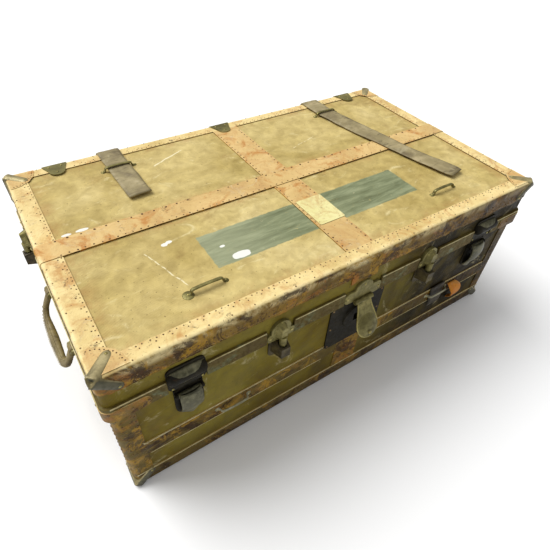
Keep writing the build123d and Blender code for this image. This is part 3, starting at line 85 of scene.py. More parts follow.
class Tree:
    """One material being built, with the object's own coordinates at hand."""

    def __init__(self, name):
        self.material = bpy.data.materials.new(name)
        self.material.use_nodes = True
        self.nodes = self.material.node_tree.nodes
        self.links = self.material.node_tree.links
        self.shader = self.nodes["Principled BSDF"]
        self.place = self.nodes.new("ShaderNodeTexCoord").outputs["Object"]
        split = self.nodes.new("ShaderNodeSeparateXYZ")
        self.links.new(self.place, split.inputs[0])
        self.x, self.y, self.z = split.outputs
        turned = self.nodes.new("ShaderNodeSeparateXYZ")
        self.links.new(self.nodes.new("ShaderNodeNewGeometry").outputs["Normal"],
                       turned.inputs[0])
        self.up = turned.outputs[2]

    def put(self, socket, value):
        if isinstance(value, bpy.types.NodeSocket):
            self.links.new(value, socket)
        else:
            socket.default_value = value

    def math(self, operation, first, second=0.0):
        node = self.nodes.new("ShaderNodeMath")
        node.operation = operation
        self.put(node.inputs[0], first)
        self.put(node.inputs[1], second)
        return node.outputs[0]

    def times(self, first, second):
        return self.math("MULTIPLY", first, second)

    def span(self, value, low, high, to_low=0.0, to_high=1.0):
        node = self.nodes.new("ShaderNodeMapRange")
        node.interpolation_type = "SMOOTHSTEP"
        for index, item in enumerate((value, low, high, to_low, to_high)):
            self.put(node.inputs[index], item)
        return node.outputs[0]

    def stretch(self, by_x, by_y, by_z):
        node = self.nodes.new("ShaderNodeMapping")
        self.links.new(self.place, node.inputs[0])
        node.inputs["Scale"].default_value = (by_x, by_y, by_z)
        return node.outputs[0]

    def noise(self, scale, detail=4.0, rough=0.55, warp=0.0, place=None):
        node = self.nodes.new("ShaderNodeTexNoise")
        self.put(node.inputs["Vector"], place or self.place)
        node.inputs["Scale"].default_value = scale
        node.inputs["Detail"].default_value = detail
        node.inputs["Roughness"].default_value = rough
        node.inputs["Distortion"].default_value = warp
        return node.outputs["Fac"]

    def wander(self, scale, detail, reach):
        """Unevenness to both sides of nothing, as far as a reach."""
        return self.times(self.math("SUBTRACT", self.noise(scale, detail), 0.5), reach)

    def cells(self, scale, feature="F1"):
        node = self.nodes.new("ShaderNodeTexVoronoi")
        node.feature = feature
        self.put(node.inputs["Vector"], self.place)
        node.inputs["Scale"].default_value = scale
        return node.outputs["Distance"]

    def wave(self, scale, axis, warp=0.4):
        node = self.nodes.new("ShaderNodeTexWave")
        self.put(node.inputs["Vector"], self.place)
        node.bands_direction = axis
        node.inputs["Scale"].default_value = scale
        node.inputs["Distortion"].default_value = warp
        return node.outputs["Fac"]

    def mix(self, share, first, second, blend="MIX"):
        node = self.nodes.new("ShaderNodeMix")
        node.data_type = "RGBA"
        node.blend_type = blend
        node.clamp_factor = True
        self.put(node.inputs[0], share)
        self.put(node.inputs[6], first)
        self.put(node.inputs[7], second)
        return node.outputs[2]

    def tint(self, colour, mask, share, shade, blend="MIX"):
        """Lays a display colour over another one, as far as a mask and a share let it."""
        return self.mix(self.times(mask, share), colour, rgb(*shade), blend)

    def stain(self, colour, noise_facts, low, high, share, shade, blend="MIX"):
        """Blotches of a display colour where a noise rises from low to high."""
        return self.tint(colour, self.span(self.noise(*noise_facts), low, high), share, shade,
                         blend)

    def ramp(self, value, stops):
        node = self.nodes.new("ShaderNodeValToRGB")
        self.put(node.inputs[0], value)
        while len(node.color_ramp.elements) < len(stops):
            node.color_ramp.elements.new(1)
        for element, (place, colour) in zip(node.color_ramp.elements, stops):
            element.position, element.color = place, colour
        return node.outputs[0]

    def patch(self, x_low, x_high, y_low, y_high, soft=0.002, ragged=0.012):
        """A ragged rectangle in X and Y, as a mask."""
        shift = self.wander(90, 3, ragged)
        masks = []
        for value, low, high in ((self.x, x_low, x_high), (self.y, y_low, y_high)):
            moved = self.math("ADD", value, shift)
            masks.append(self.span(moved, low - soft, low + soft))
            masks.append(self.span(moved, high - soft, high + soft, 1.0, 0.0))
        mask = masks[0]
        for other in masks[1:]:
            mask = self.times(mask, other)
        return mask

    def spot(self, x, y, along_x, along_y, soft=0.8):
        """An oval mask with an uneven rim, about one place in X and Y."""
        wide = self.math("DIVIDE", self.math("SUBTRACT", self.x, x), along_x)
        deep = self.math("DIVIDE", self.math("SUBTRACT", self.y, y), along_y)
        far = self.math("ADD", self.times(wide, wide), self.times(deep, deep))
        return self.span(self.math("ADD", far, self.wander(110, 3, 1.1)), soft, 1.0, 1.0, 0.0)

    def reach(self, by_x, by_y, start):
        """Distance from a place, measured along one direction in X and Y."""
        first = self.times(self.math("SUBTRACT", self.x, start[0]), by_x)
        second = self.times(self.math("SUBTRACT", self.y, start[1]), by_y)
        return self.math("ADD", first, second)

    def line(self, start, end, half):
        """A thin mask along a straight line between two places in X and Y."""
        run = Vector(end) - Vector(start)
        unit = run.normalized()
        across = self.reach(-unit.y, unit.x, start)
        along = self.reach(unit.x, unit.y, start)
        far = self.math("ABSOLUTE", self.math("ADD", across, self.wander(35, 2, 0.008)))
        mask = self.span(far, half * 0.4, half, 1.0, 0.0)
        mask = self.times(mask, self.span(along, 0.0, 0.006))
        return self.times(mask, self.span(along, run.length - 0.006, run.length, 1.0, 0.0))

    def finish(self, colour, rough, height=None, bump=0.3, depth=0.001, metallic=0.0,
               specular=None):
        self.put(self.shader.inputs["Base Color"], colour)
        self.put(self.shader.inputs["Roughness"], rough)
        self.shader.inputs["Metallic"].default_value = metallic
        if specular is not None:
            self.shader.inputs["Specular IOR Level"].default_value = specular
        if height is not None:
            node = self.nodes.new("ShaderNodeBump")
            node.inputs["Strength"].default_value = bump
            node.inputs["Distance"].default_value = depth
            self.put(node.inputs["Height"], height)
            self.links.new(node.outputs[0], self.shader.inputs["Normal"])
        return self.material


def canvas():
    """Varnished canvas: pale on the lid, olive on uprights, painted shade on the front's right."""
    t = Tree("canvas")
    broad = t.noise(5.5, 5, 0.6, 0.6)
    fine = t.noise(45, 5, 0.62, 0.4)
    facing_up = t.span(t.up, 0.35, 0.75)
    top = t.ramp(broad, shades((0.3, 0.46, 0.6, 0.75), (196, 174, 106), (215, 193, 127),
                               (228, 207, 144), (238, 219, 162)))
    side = t.ramp(broad, shades((0.3, 0.45, 0.6, 0.75), (98, 82, 22), (130, 112, 36),
                                (152, 138, 58), (164, 148, 72)))
    # Painted shade: the right part of the front is darkened, with dark blotches laid inside it
    shaded = t.times(t.span(t.x, 0.0, 0.24), t.span(t.y, -0.24, -0.255))
    side = t.tint(side, shaded, 0.75, (86, 72, 30), "MULTIPLY")
    painted_shade_blotches = t.times(t.span(t.noise(8, 5, 0.7, 0.9), 0.38, 0.56), shaded)
    side = t.tint(side, painted_shade_blotches, 0.9, (30, 24, 6))
    colour = t.mix(facing_up, side, top)
    mottle = t.ramp(fine, shades((0.3, 0.7), (196, 190, 170), (255, 255, 250)))
    colour = t.mix(0.75, colour, mottle, "MULTIPLY")
    olive = t.span(t.noise(3.1, 3, 0.5, 0.3), 0.45, 0.62)
    colour = t.tint(colour, olive, 0.35, (186, 172, 96), "MULTIPLY")
    scuffed = t.span(t.noise(17, 6, 0.7, 1.2, t.stretch(1, 1.8, 1)), 0.56, 0.72)
    colour = t.tint(colour, scuffed, 0.55, (240, 226, 172))
    colour = t.stain(colour, (9, 6, 0.72, 0.8), 0.57, 0.75, 0.45, (142, 108, 60))
    colour = t.stain(colour, (260, 2, 0.5), 0.66, 0.74, 0.6, (92, 66, 34))
    on_top = t.span(t.z, 0.336, 0.3375)
    near_ends = t.span(t.math("ABSOLUTE", t.x), 0.385, 0.425)
    near_sides = t.span(t.math("ABSOLUTE", t.y), 0.208, 0.238)
    from_band = t.math("ABSOLUTE", t.math("SUBTRACT", t.y, LONG_BAND_Y))
    near_band = t.span(from_band, 0.022, 0.045, 1.0, 0.0)
    rim = t.math("MAXIMUM", t.math("MAXIMUM", near_ends, near_sides), near_band)
    soaked = t.times(rim, t.span(t.noise(26, 6, 0.72, 0.8), 0.4, 0.66))
    colour = t.tint(colour, t.times(soaked, on_top), 0.55, (176, 132, 78))
    scratch = t.line((-0.3120, -0.0700), (-0.2960, -0.1250), 0.0014)
    for start, end, half in (((-0.2965, -0.123), (-0.2800, -0.178), 0.0014),
                             ((-0.200, 0.165), (-0.120, 0.198), 0.0022),
                             ((0.09, 0.09), (0.17, 0.115), 0.0009)):
        scratch = t.math("MAXIMUM", scratch, t.line(start, end, half))
    scratch = t.times(scratch, t.span(t.noise(130, 3), 0.36, 0.5))
    colour = t.tint(colour, t.times(scratch, on_top), 0.75, (250, 240, 200))
    # the painted field on the lid, with its flakes and its splashes of white
    field = t.times(t.patch(-0.225, 0.218, -0.162, -0.078, 0.0012, 0.006), on_top)
    rubbed = t.span(t.noise(60, 6, 0.75, 0.6), 0.6, 0.72, 1.0, 0.25)
    brush = t.noise(40, 5, 0.65, 0.4, t.stretch(0.35, 2.2, 1))
    green = t.ramp(brush, shades((0.3, 0.48, 0.66), (96, 106, 78), (122, 132, 100),
                                 (150, 158, 124)))
    green = t.mix(t.span(t.x, -0.05, -0.22, 0.0, 0.3), green, rgb(196, 200, 166))
    green = t.stain(green, (75, 7, 0.8, 0.5), 0.62, 0.68, 0.7, (216, 210, 170))
    colour = t.mix(t.times(t.times(field, rubbed), 0.94), colour, green)
    for x, y, wide, deep in ((-0.178, -0.151, 0.018, 0.0085), (-0.404, 0.0345, 0.009, 0.0035),
                             (-0.378, 0.0355, 0.011, 0.0040), (-0.276, -0.068, 0.006, 0.0045),
                             (-0.267, -0.065, 0.006, 0.0040), (-0.196, -0.118, 0.005, 0.003)):
        painted = t.times(t.spot(x, y, wide, deep), on_top)
        colour = t.tint(colour, painted, 0.9, (248, 248, 240))
    # Darker towards the bottom
    darker_towards_bottom = t.span(t.z, 0.0, 0.07, 0.55, 0.0)
    colour = t.mix(darker_towards_bottom, colour, rgb(70, 56, 30))
    weave = t.times(t.wave(190, "X"), t.wave(190, "Y"))
    upright_weave = t.times(t.wave(190, "X"), t.wave(190, "Z"))
    cloth = t.math("ADD", weave, t.times(upright_weave, 0.6))
    height = t.math("ADD", t.times(cloth, 0.35), t.times(fine, 0.9))
    rough = t.span(fine, 0.3, 0.7, 0.48, 0.72)
    return t.finish(colour, rough, height, 0.4, 0.0014, specular=0.14)


def hide(name, top_stops, side_stops, orange, dirt, gloss, plain=False):
    """Varnished rawhide, pale on top and darker on upright faces, with worn patches."""
    t = Tree(name)
    broad = t.noise(9, 5, 0.62, 0.7)
    fine = t.noise(70, 6, 0.66, 0.5)
    facing_up = t.span(t.up, 0.3, 0.8)
    colour = t.mix(facing_up, t.ramp(broad, side_stops), t.ramp(broad, top_stops))
    top_x = t.span(t.math("ABSOLUTE", t.x), 0.447, 0.456)
    top_y = t.span(t.math("ABSOLUTE", t.y), 0.250, 0.260)
    outer = t.times(t.math("MAXIMUM", top_x, top_y), t.span(t.z, 0.318, 0.332))
    inner = t.times(facing_up, t.math("SUBTRACT", 1.0, outer))
    colour = t.stain(colour, (15, 6, 0.7, 1.4), 0.50, 0.66, orange, (186, 116, 44))
    spilt = t.times(inner, t.span(t.noise(34, 7, 0.75, 0.9), 0.46, 0.66))
    colour = t.tint(colour, spilt, 0.5, (196, 150, 92))
    # The outer rim of the top is made paler: partly wear, partly a painted highlight along the
    # edge
    rubbed = t.times(outer, t.span(t.noise(24, 6, 0.7, 0.5), 0.4, 0.6))
    colour = t.tint(colour, rubbed, 0.75, (255, 236, 178))
    worn = t.span(t.noise(28, 7, 0.78, 0.9), 0.56, 0.7)
    colour = t.tint(colour, worn, t.span(facing_up, 0.0, 1.0, 0.12, 0.55), (214, 196, 158))
    dark = t.span(t.noise(21, 7, 0.8, 1.1), 0.58, 0.68)
    colour = t.tint(colour, dark, dirt, (66, 42, 26))
    upright = t.times(t.math("SUBTRACT", 1.0, facing_up), 0.0 if plain else 1.0)
    blots = t.span(t.noise(12, 8, 0.78, 1.6), 0.5, 0.58)
    colour = t.tint(colour, t.times(blots, upright), 0.85, (52, 30, 6))
    gold = t.span(t.noise(19, 7, 0.75, 1.2), 0.5, 0.62)
    colour = t.tint(colour, t.times(gold, upright), 0.8, (190, 146, 46))
    # Painted shade: upright faces are darkened towards the right end, where the shade falls
    shade = t.times(t.span(t.x, 0.02, 0.36), upright)
    colour = t.tint(colour, shade, 0.7, (104, 82, 36), "MULTIPLY")
    colour = t.stain(colour, (210, 3, 0.6), 0.62, 0.74, 0.6, (96, 58, 32))
    # Darker towards the bottom
    darker_towards_bottom = t.span(t.z, 0.0, 0.05, 0.5, 0.0)
    colour = t.mix(darker_towards_bottom, colour, rgb(58, 44, 24))
    grain = t.cells(420, "SMOOTH_F1")
    height = t.math("ADD", t.times(fine, 1.0), t.times(grain, 0.4))
    height = t.math("ADD", height, t.times(worn, -0.35))
    return t.finish(colour, t.span(fine, 0.3, 0.7, gloss, gloss + 0.3), height, 0.5, 0.0016,
                    specular=0.16)


def metal(name, colours, dull, metallic, rough, scratch=0.4, rust=0.2, specular=0.5,
          painted_upright_shade=0.0, places=THREE):
    """Old sheet metal, dark in its hollows and rubbed brighter where hands reach."""
    t = Tree(name)
    broad = t.noise(26, 5, 0.6, 0.5)
    fine = t.noise(150, 5, 0.65)
    colour = t.ramp(broad, shades(places, *colours))
    colour = t.mix(t.span(fine, 0.42, 0.66, 0.0, scratch), colour, rgb(*dull))
    colour = t.stain(colour, (75, 5, 0.7, 0.6), 0.6, 0.72, rust, (112, 66, 32))
    # Painted shade: faces that look sideways or down are darkened to a dark olive
    if painted_upright_shade:
        upright = t.span(t.up, 0.2, 0.6, painted_upright_shade, 0.0)
        colour = t.mix(upright, colour, rgb(50, 52, 34))
    lines = t.noise(60, 3, 0.5, 0.0, t.stretch(1, 1, 9))
    height = t.math("ADD", fine, t.times(lines, 0.5))
    return t.finish(colour, t.span(fine, 0.3, 0.7, rough, rough + 0.25), height, 0.25, 0.0008,
                    metallic, specular)


def leather(name, colours, crease_darkening, pale, gloss=0.5):
    """Old strap leather with creases across it, darker along the creases, and pale dust."""
    t = Tree(name)
    colour = t.ramp(t.noise(18, 5, 0.62, 0.5), shades(THREE, *colours))
    creases = t.noise(46, 6, 0.7, 0.8, t.stretch(0.6, 2.2, 2.2))
    # Darker along the creases
    colour = t.mix(t.span(creases, 0.52, 0.7, 0.0, crease_darkening), colour, rgb(48, 38, 24))
    colour = t.stain(colour, (33, 6, 0.7, 1.0), 0.54, 0.7, pale, (196, 184, 148))
    grain = t.cells(700, "SMOOTH_F1")
    height = t.math("ADD", creases, t.times(grain, 0.4))
    return t.finish(colour, t.span(creases, 0.3, 0.7, gloss, gloss + 0.25), height, 0.45,
                    0.0012)


def wood():
    """Sawn boards with the grain along the length of the trunk."""
    t = Tree("board_wood")
    rings = t.noise(30, 6, 0.6, 0.8, t.stretch(0.25, 2.4, 2.4))
    colour = t.ramp(rings, shades(THREE, (120, 84, 46), (158, 118, 70), (184, 146, 94)))
    colour = t.mix(t.span(t.noise(7, 5), 0.5, 0.7, 0.0, 0.35), colour, rgb(90, 66, 40))
    pores = t.noise(260, 3, 0.6, 0.0, t.stretch(0.1, 1, 1))
    return t.finish(colour, t.span(pores, 0.3, 0.7, 0.6, 0.8), pores, 0.3, 0.0006)


def paper(name, ground, stripe, stripe_share, stain):
    """Lining paper with faint narrow stripes, foxed and rubbed."""
    t = Tree(name)
    bands = t.wave(22, "X", 0.0)
    colour = t.mix(t.span(bands, 0.72, 0.8, 0.0, stripe_share), ground, stripe)
    colour = t.mix(t.span(t.noise(12, 6, 0.7, 0.5), 0.5, 0.72, 0.0, 0.6), colour, stain)
    colour = t.stain(colour, (120, 4, 0.6), 0.62, 0.7, 0.5, (150, 110, 64))
    fibre = t.noise(340, 4, 0.6)
    return t.finish(colour, t.span(fibre, 0.3, 0.7, 0.7, 0.85), fibre, 0.25, 0.0004)


PALE_TOP = shades(FOUR, (202, 174, 108), (230, 205, 140), (242, 219, 156), (220, 182, 112))
DARK_SIDE = shades(FOUR, (74, 54, 22), (124, 98, 38), (150, 118, 46), (180, 138, 56))
BAND_TOP = shades(FOUR, (190, 150, 96), (214, 182, 120), (226, 194, 132), (214, 166, 98))
materials = {
    "canvas": canvas(),
    "hide": hide("hide", PALE_TOP, DARK_SIDE, 0.55, 0.75, 0.34),
    "hide_band": hide("hide_band", BAND_TOP, DARK_SIDE, 0.75, 0.5, 0.36),
    "hide_dark": hide("hide_dark", BAND_TOP, shades(
        FOUR, (66, 52, 20), (100, 84, 34), (126, 106, 46), (146, 114, 46)), 0.3, 0.6, 0.4),
    "patch_hide": hide("patch_hide", shades(
        FOUR, (212, 200, 134), (230, 222, 156), (238, 230, 170), (206, 184, 118)),
        DARK_SIDE, 0.35, 0.4, 0.4),
    "orange_hide": hide("orange_hide", shades(
        FOUR, (186, 104, 30), (226, 140, 48), (250, 178, 84), (255, 206, 130)), shades(
        FOUR, (176, 98, 22), (216, 132, 34), (244, 166, 60), (255, 200, 104)),
        0.2, 0.3, 0.3, plain=True),
    "edge_tin": metal("edge_tin", ((88, 72, 26), (106, 90, 36), (108, 108, 70),
                                   (138, 142, 112)), (68, 54, 22), 0.0, 0.5, 0.6, 0.4, 0.25,
                      places=(0.36, 0.54, 0.62, 0.74)),
    "board_wood": wood(),
    "lining_paper": paper("lining_paper", rgb(206, 192, 152), rgb(150, 120, 84), 0.35,
                          rgb(160, 134, 92)),
    "tray_board": paper("tray_board", rgb(196, 180, 140), rgb(140, 112, 78), 0.3,
                        rgb(150, 122, 82)),
}

# Three colours from hollow to rubbed, the dull one between, then metallic, roughness,
# scratches, rust, specular and painted shade on faces that do not look up
METALS = {
    "brass": (((92, 86, 46), (130, 122, 70), (160, 150, 92)), (74, 66, 38), 0.55, 0.36),
    # A lighter copy of the brass: a painted highlight on rivet heads, the hasp's rim and the
    # dowels' domes
    "brass_painted_highlight": (((120, 110, 58), (168, 156, 92), (206, 194, 128)), (96, 88, 48), 0.6, 0.3),
    "black_iron": (((18, 16, 9), (28, 25, 15), (48, 44, 29)), (60, 54, 34),
                   0.15, 0.5, 0.25, 0.15, 0.2),
    "pale_edge": (((196, 180, 122), (224, 210, 154), (240, 230, 184)), (150, 128, 78),
                  0.0, 0.5, 0.5, 0.3),
    "tack_iron": (((88, 62, 38), (128, 98, 58), (176, 146, 94)), (70, 50, 30),
                  0.3, 0.45, 0.5, 0.4),
    "rim_steel": (((110, 104, 90), (140, 134, 118), (168, 162, 146)), (90, 76, 56), 0.8, 0.4),
    "claw_brass": (((112, 102, 68), (164, 150, 106), (210, 196, 146)), (80, 74, 46),
                   0.45, 0.34, 0.35, 0.2, 0.5, 0.85),
    "latch_iron": (((50, 49, 32), (84, 82, 58), (136, 132, 102)), (150, 146, 112),
                   0.45, 0.3, 0.4, 0.12),
    "wire": (((104, 100, 74), (152, 148, 118), (196, 192, 162)), (84, 78, 54),
             0.35, 0.36, 0.3, 0.2),
    "dark_brass": (((44, 38, 20), (72, 62, 34), (110, 98, 54)), (36, 28, 16),
                   0.5, 0.36, 0.4, 0.3),
}
# Three colours, then darkening along the creases, pale dust and gloss
LEATHERS = {
    "strap_leather": (((112, 98, 68), (148, 134, 94), (184, 168, 126)), 0.7, 0.45),
    "grip_leather": (((84, 70, 36), (118, 102, 58), (146, 130, 82)), 0.6, 0.3),
    "dark_leather": (((34, 28, 18), (50, 42, 26), (70, 60, 38)), 0.6, 0.12),
    "thread": (((150, 136, 96), (184, 170, 124), (204, 192, 150)), 0.3, 0.2, 0.7),
}
materials.update({name: metal(name, *facts) for name, facts in METALS.items()})
materials.update({name: leather(name, *facts) for name, facts in LEATHERS.items()})

slots = {entry["node"]: entry["material_slot"] for entry in frame["record"]["subparts"]}
finish_of = {"bottom_binding": "hide_dark", "corner_bindings": "hide_dark",
             "body_strips": "hide_dark", "body_cross_band": "hide_band",
             "lid_long_band": "hide_band", "lid_cross_band": "hide_band",
             "dowel_sockets": "dark_brass"}
for name, obj in nodes.items():
    material = materials[finish_of.get(name, slots[name])]
    if len(obj.material_slots):
        for entry in obj.material_slots:
            entry.material = material
    else:
        obj.data.materials.append(material)


# Building pieces

def shown(name, data):
    """A new object of the scene that shows some data."""
    obj = bpy.data.objects.new(name, data)
    bpy.context.scene.collection.objects.link(obj)
    return obj


def piece(name, bm, material, body, smooth=True):
    """Turns mesh data into a piece that rides on a body."""
    bmesh.ops.recalc_face_normals(bm, faces=bm.faces)
    mesh = bpy.data.meshes.new(name)
    bm.to_mesh(mesh)
    bm.free()
    for face in mesh.polygons:
        face.use_smooth = smooth
    obj = shown(name, mesh)
    mesh.materials.append(materials[material])
    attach(obj, body)
    return obj


def turned(normal):
    """The turn that takes +Z to a direction."""
    return Vector((0, 0, 1)).rotation_difference(Vector(normal)).to_matrix()


def skin(bm, rings):
    """Faces that join each closed ring of points to the next one."""
    for low, high in zip(rings, rings[1:]):
        for k in range(len(low)):
            after = (k + 1) % len(low)
            bm.faces.new((low[k], low[after], high[after], high[k]))


def dome(bm, centre, normal, radius, height, sides=8):
    """A low round nail head, sunk a little into what it holds."""
    turn = turned(normal)
    rings = []
    for share, lift in ((1.0, -0.15), (0.86, 0.45), (0.5, 0.88)):
        ring = []
        for step in range(sides):
            angle = 2 * math.pi * step / sides
            local = Vector((math.cos(angle) * radius * share,
                            math.sin(angle) * radius * share, lift * height))
            ring.append(bm.verts.new(Vector(centre) + turn @ local))
        rings.append(ring)
    skin(bm, rings)
    crown = bm.verts.new(Vector(centre) + turn @ Vector((0, 0, height)))
    for step in range(sides):
        bm.faces.new((rings[-1][step], rings[-1][(step + 1) % sides], crown))
    bm.faces.new(list(reversed(rings[0])))


def nail_row(bm, start, end, normal, pitch=0.0125, radius=0.0016, height=0.0009, gaps=()):
    """Nails from one point to another, a little uneven, apart from where a fitting covers."""
    start, end = Vector(start), Vector(end)
    count = max(2, int((end - start).length / pitch))
    for step in range(count + 1):
        point = start.lerp(end, step / count)
        if any(abs(point[axis] - middle) < half for axis, middle, half in gaps):
            continue
        if dice.random() < 0.03:
            continue
        side = (end - start).normalized().cross(Vector(normal))
        point += side * dice.uniform(-0.0007, 0.0007)
        point += (end - start).normalized() * dice.uniform(-0.001, 0.001)
        size = radius * dice.uniform(0.85, 1.15)
        dome(bm, point, normal, size, height, 6)


def row_along_x(bm, reach, y, z, normal, *sizes, gaps=()):
    nail_row(bm, (-reach, y, z), (reach, y, z), normal, *sizes, gaps=gaps)


def row_along_y(bm, x, reach, z, normal, *sizes, gaps=()):
    nail_row(bm, (x, -reach, z), (x, reach, z), normal, *sizes, gaps=gaps)


def tube(bm, points, radius, sides=8, flat=1.0, up=None):
    """A bar along points; flat squeezes it along the surface normal."""
    points = [Vector(p) for p in points]
    rings = []
    for index, point in enumerate(points):
        before = points[max(index - 1, 0)]
        after = points[min(index + 1, len(points) - 1)]
        along = (after - before).normalized()
        reference = Vector(up) if up else Vector((0, 0, 1))
        side = along.cross(reference)
        if side.length < 1e-5:
            side = along.cross(Vector((0, 1, 0)))
        side.normalize()
        lift = side.cross(along).normalized()
        size = radius(index / (len(points) - 1)) if callable(radius) else radius
        rings.append([bm.verts.new(point + side * math.cos(2 * math.pi * k / sides) * size
                                   + lift * math.sin(2 * math.pi * k / sides) * size * flat)
                      for k in range(sides)])
    skin(bm, rings)
    bm.faces.new(list(reversed(rings[0])))
    bm.faces.new(rings[-1])


def ribbon(bm, stations, width, thick, ragged):
    """A leather strip: stations are (middle, across, outward, width share)."""
    rings = []
    columns = 9
    for index, (middle, across, outward, share) in enumerate(stations):
        middle, across, outward = Vector(middle), Vector(across), Vector(outward)
        ring = []
        half = width / 2 * share
        for layer in (1, -1):
            order = range(columns) if layer == 1 else range(columns - 1, -1, -1)
            for column in order:
                place = column / (columns - 1) * 2 - 1
                edge = abs(place) ** 4
                lift = thick / 2 * layer * (1 - 0.55 * edge)
                wobble = noise.noise(middle * 60 + Vector((0, 0, 9 * (place > 0)))) * ragged
                swell = noise.noise(middle * 35 + across * place * 2) * thick * 0.22
                if layer < 0:
                    swell = min(swell, 0)
                ring.append(bm.verts.new(
                    middle + across * (place * half + (wobble if abs(place) > 0.8 else 0))
                    + outward * (lift + (swell if layer > 0 else 0))))
        rings.append(ring)
    skin(bm, rings)
    total = columns * 2
    for ring in (rings[0], rings[-1]):
        for k in range(columns - 1):
            bm.faces.new((ring[k], ring[k + 1], ring[total - 2 - k], ring[total - 1 - k]))


# Nails of the lid
bm = bmesh.new()
back_gaps = [(0, c, 0.028) for c in (*HINGES, -STRAP_X, STRAP_X)]
for x in (-1, 1):
    row_along_y(bm, x * 0.4255, 0.236, TOP, UP, 0.0098, 0.00125)
    row_along_y(bm, x * 0.4310, 0.230, TOP, UP, 0.0230, 0.00125)
    row_along_y(bm, x * 0.4510, 0.205, TOP, UP, 0.034, 0.0013)
for y in (-1, 1):
    gaps = back_gaps if y > 0 else ()
    row_along_x(bm, 0.42, y * 0.2385, TOP, UP, 0.0098, 0.00125, gaps=gaps)
    row_along_x(bm, 0.41, y * 0.2440, TOP, UP, 0.0230, 0.00125, gaps=gaps)
    row_along_x(bm, 0.40, y * 0.2565, TOP, UP, 0.036, 0.0013, gaps=gaps)
over_band = TOP + 0.0012
row_along_x(bm, 0.425, 0.0235, over_band, UP, 0.021, 0.0021, 0.0012)
row_along_x(bm, 0.425, -0.0135, over_band, UP, 0.013)
for x in (-0.0235, 0.0295):
    for low, high in ((-0.232, -0.021), (0.031, 0.215)):
        nail_row(bm, (x, low, TOP), (x, high, TOP), UP, 0.012)
for y, normal in ((-LID_Y, FRONT), (LID_Y, BACK)):
    gaps = back_gaps if y > 0 else ()
    row_along_x(bm, 0.405, y, 0.3060, normal, 0.0105, gaps=gaps)
    row_along_x(bm, 0.400, y, 0.3150, normal, 0.0125, gaps=gaps)
for x in (-1, 1):
    for reach, z, pitch in ((0.21, 0.3060, 0.0105), (0.205, 0.3150, 0.0125)):
        row_along_y(bm, x * LID_X, reach, z, (x, 0, 0), pitch, gaps=[(1, LONG_BAND_Y, 0.024)])
piece("lid_nails", bm, "tack_iron", "lid")

# Nails of the body
bm = bmesh.new()
for y, normal in ((-BODY_Y, FRONT), (BODY_Y, BACK)):
    for side in (-1, 1):
        for inset in (0.008, 0.029):
            x = side * (BODY_X - inset - 0.004)
            nail_row(bm, (x, y, 0.048), (x, y, 0.230), normal, 0.013)
    row_along_x(bm, 0.405, y, 0.0300, normal, 0.013)
    row_along_x(bm, 0.400, y, 0.0150, normal, 0.020)
    gaps = [(0, HASP_X, 0.066), (0, STRAP_X, 0.024)] if y < 0 else [(0, CROSS_BAND_X, 0.032)]
    row_along_x(bm, 0.415, y, 0.1240, normal, 0.013, gaps=gaps)
    row_along_x(bm, 0.415, y, 0.0940, normal, 0.013, gaps=gaps)
for x, normal in ((-BODY_X, (-1, 0, 0)), (BODY_X, (1, 0, 0))):
    for side in (-1, 1):
        for inset in (0.008, 0.029):
            y = side * (BODY_Y - inset - 0.004)
            nail_row(bm, (x, y, 0.048), (x, y, 0.230), normal, 0.013)
    for reach, z, pitch in ((0.215, 0.0300, 0.013), (0.210, 0.0150, 0.020),
                            (0.220, 0.1240, 0.013), (0.220, 0.0940, 0.013)):
        row_along_y(bm, x, reach, z, normal, pitch)
piece("body_nails", bm, "tack_iron", "trunk_body")

# Pale edges: thin raised lines along the valance, the strips and the bottom hoop
bm = bmesh.new()


def edge_run(start, end, radius, normal):
    start, end = Vector(start), Vector(end)
    count = max(3, int((end - start).length / 0.02))
    points = []
    for step in range(count + 1):
        point = start.lerp(end, step / count)
        point += Vector((0, 0, noise.noise(point * 30) * 0.0008))
        points.append(point)
    tube(bm, points, radius, 6, 0.8, normal)


FITTINGS = [(-LATCH_X, 0.033), (-DOWEL_X, 0.028), (HASP_X, 0.044), (DOWEL_X, 0.028),
            (LATCH_X, 0.033)]
level = VALANCE_TOP - 0.001
edge = -0.448
for middle, half in FITTINGS + [(0.49, 0.042)]:
    edge_run((edge, -VALANCE_Y, level), (middle - half, -VALANCE_Y, level), 0.0011, FRONT)
    edge = middle + half
for x in (-1, 1):
    for low, high in ((-0.251, 0.092), (0.148, 0.248)):
        edge_run((x * VALANCE_X, low, level), (x * VALANCE_X, high, level), 0.0011, (x, 0, 0))
piece("valance_edge", bm, "pale_edge", "lid")

bm = bmesh.new()
for y, normal in ((-BODY_Y, FRONT), (BODY_Y, BACK)):
    edge_run((-0.448, y, 0.0355), (0.448, y, 0.0355), 0.0010, normal)
    left, right = (-0.062, 0.072) if y < 0 else (-0.030, 0.036)
    for low, high in ((-0.415, left), (right, 0.415)):
        edge_run((low, y, 0.1275), (high, y, 0.1275), 0.0011, normal)
        edge_run((low, y, 0.0905), (high, y, 0.0905), 0.0007, normal)
for x in (-1, 1):
    for reach, z, radius in ((0.248, 0.0355, 0.0010), (0.22, 0.1275, 0.0011),
                             (0.22, 0.0905, 0.0007)):
        edge_run((x * BODY_X, -reach, z), (x * BODY_X, reach, z), radius, (x, 0, 0))
tube(bm, [(-0.415, -0.2600, 0.1275), (-0.4185, -0.2602, 0.1280), (-0.4210, -0.2603, 0.1300),
          (-0.4222, -0.2604, 0.1335)], 0.0012, 6, 0.8, FRONT)
piece("body_edges", bm, "pale_edge", "trunk_body")


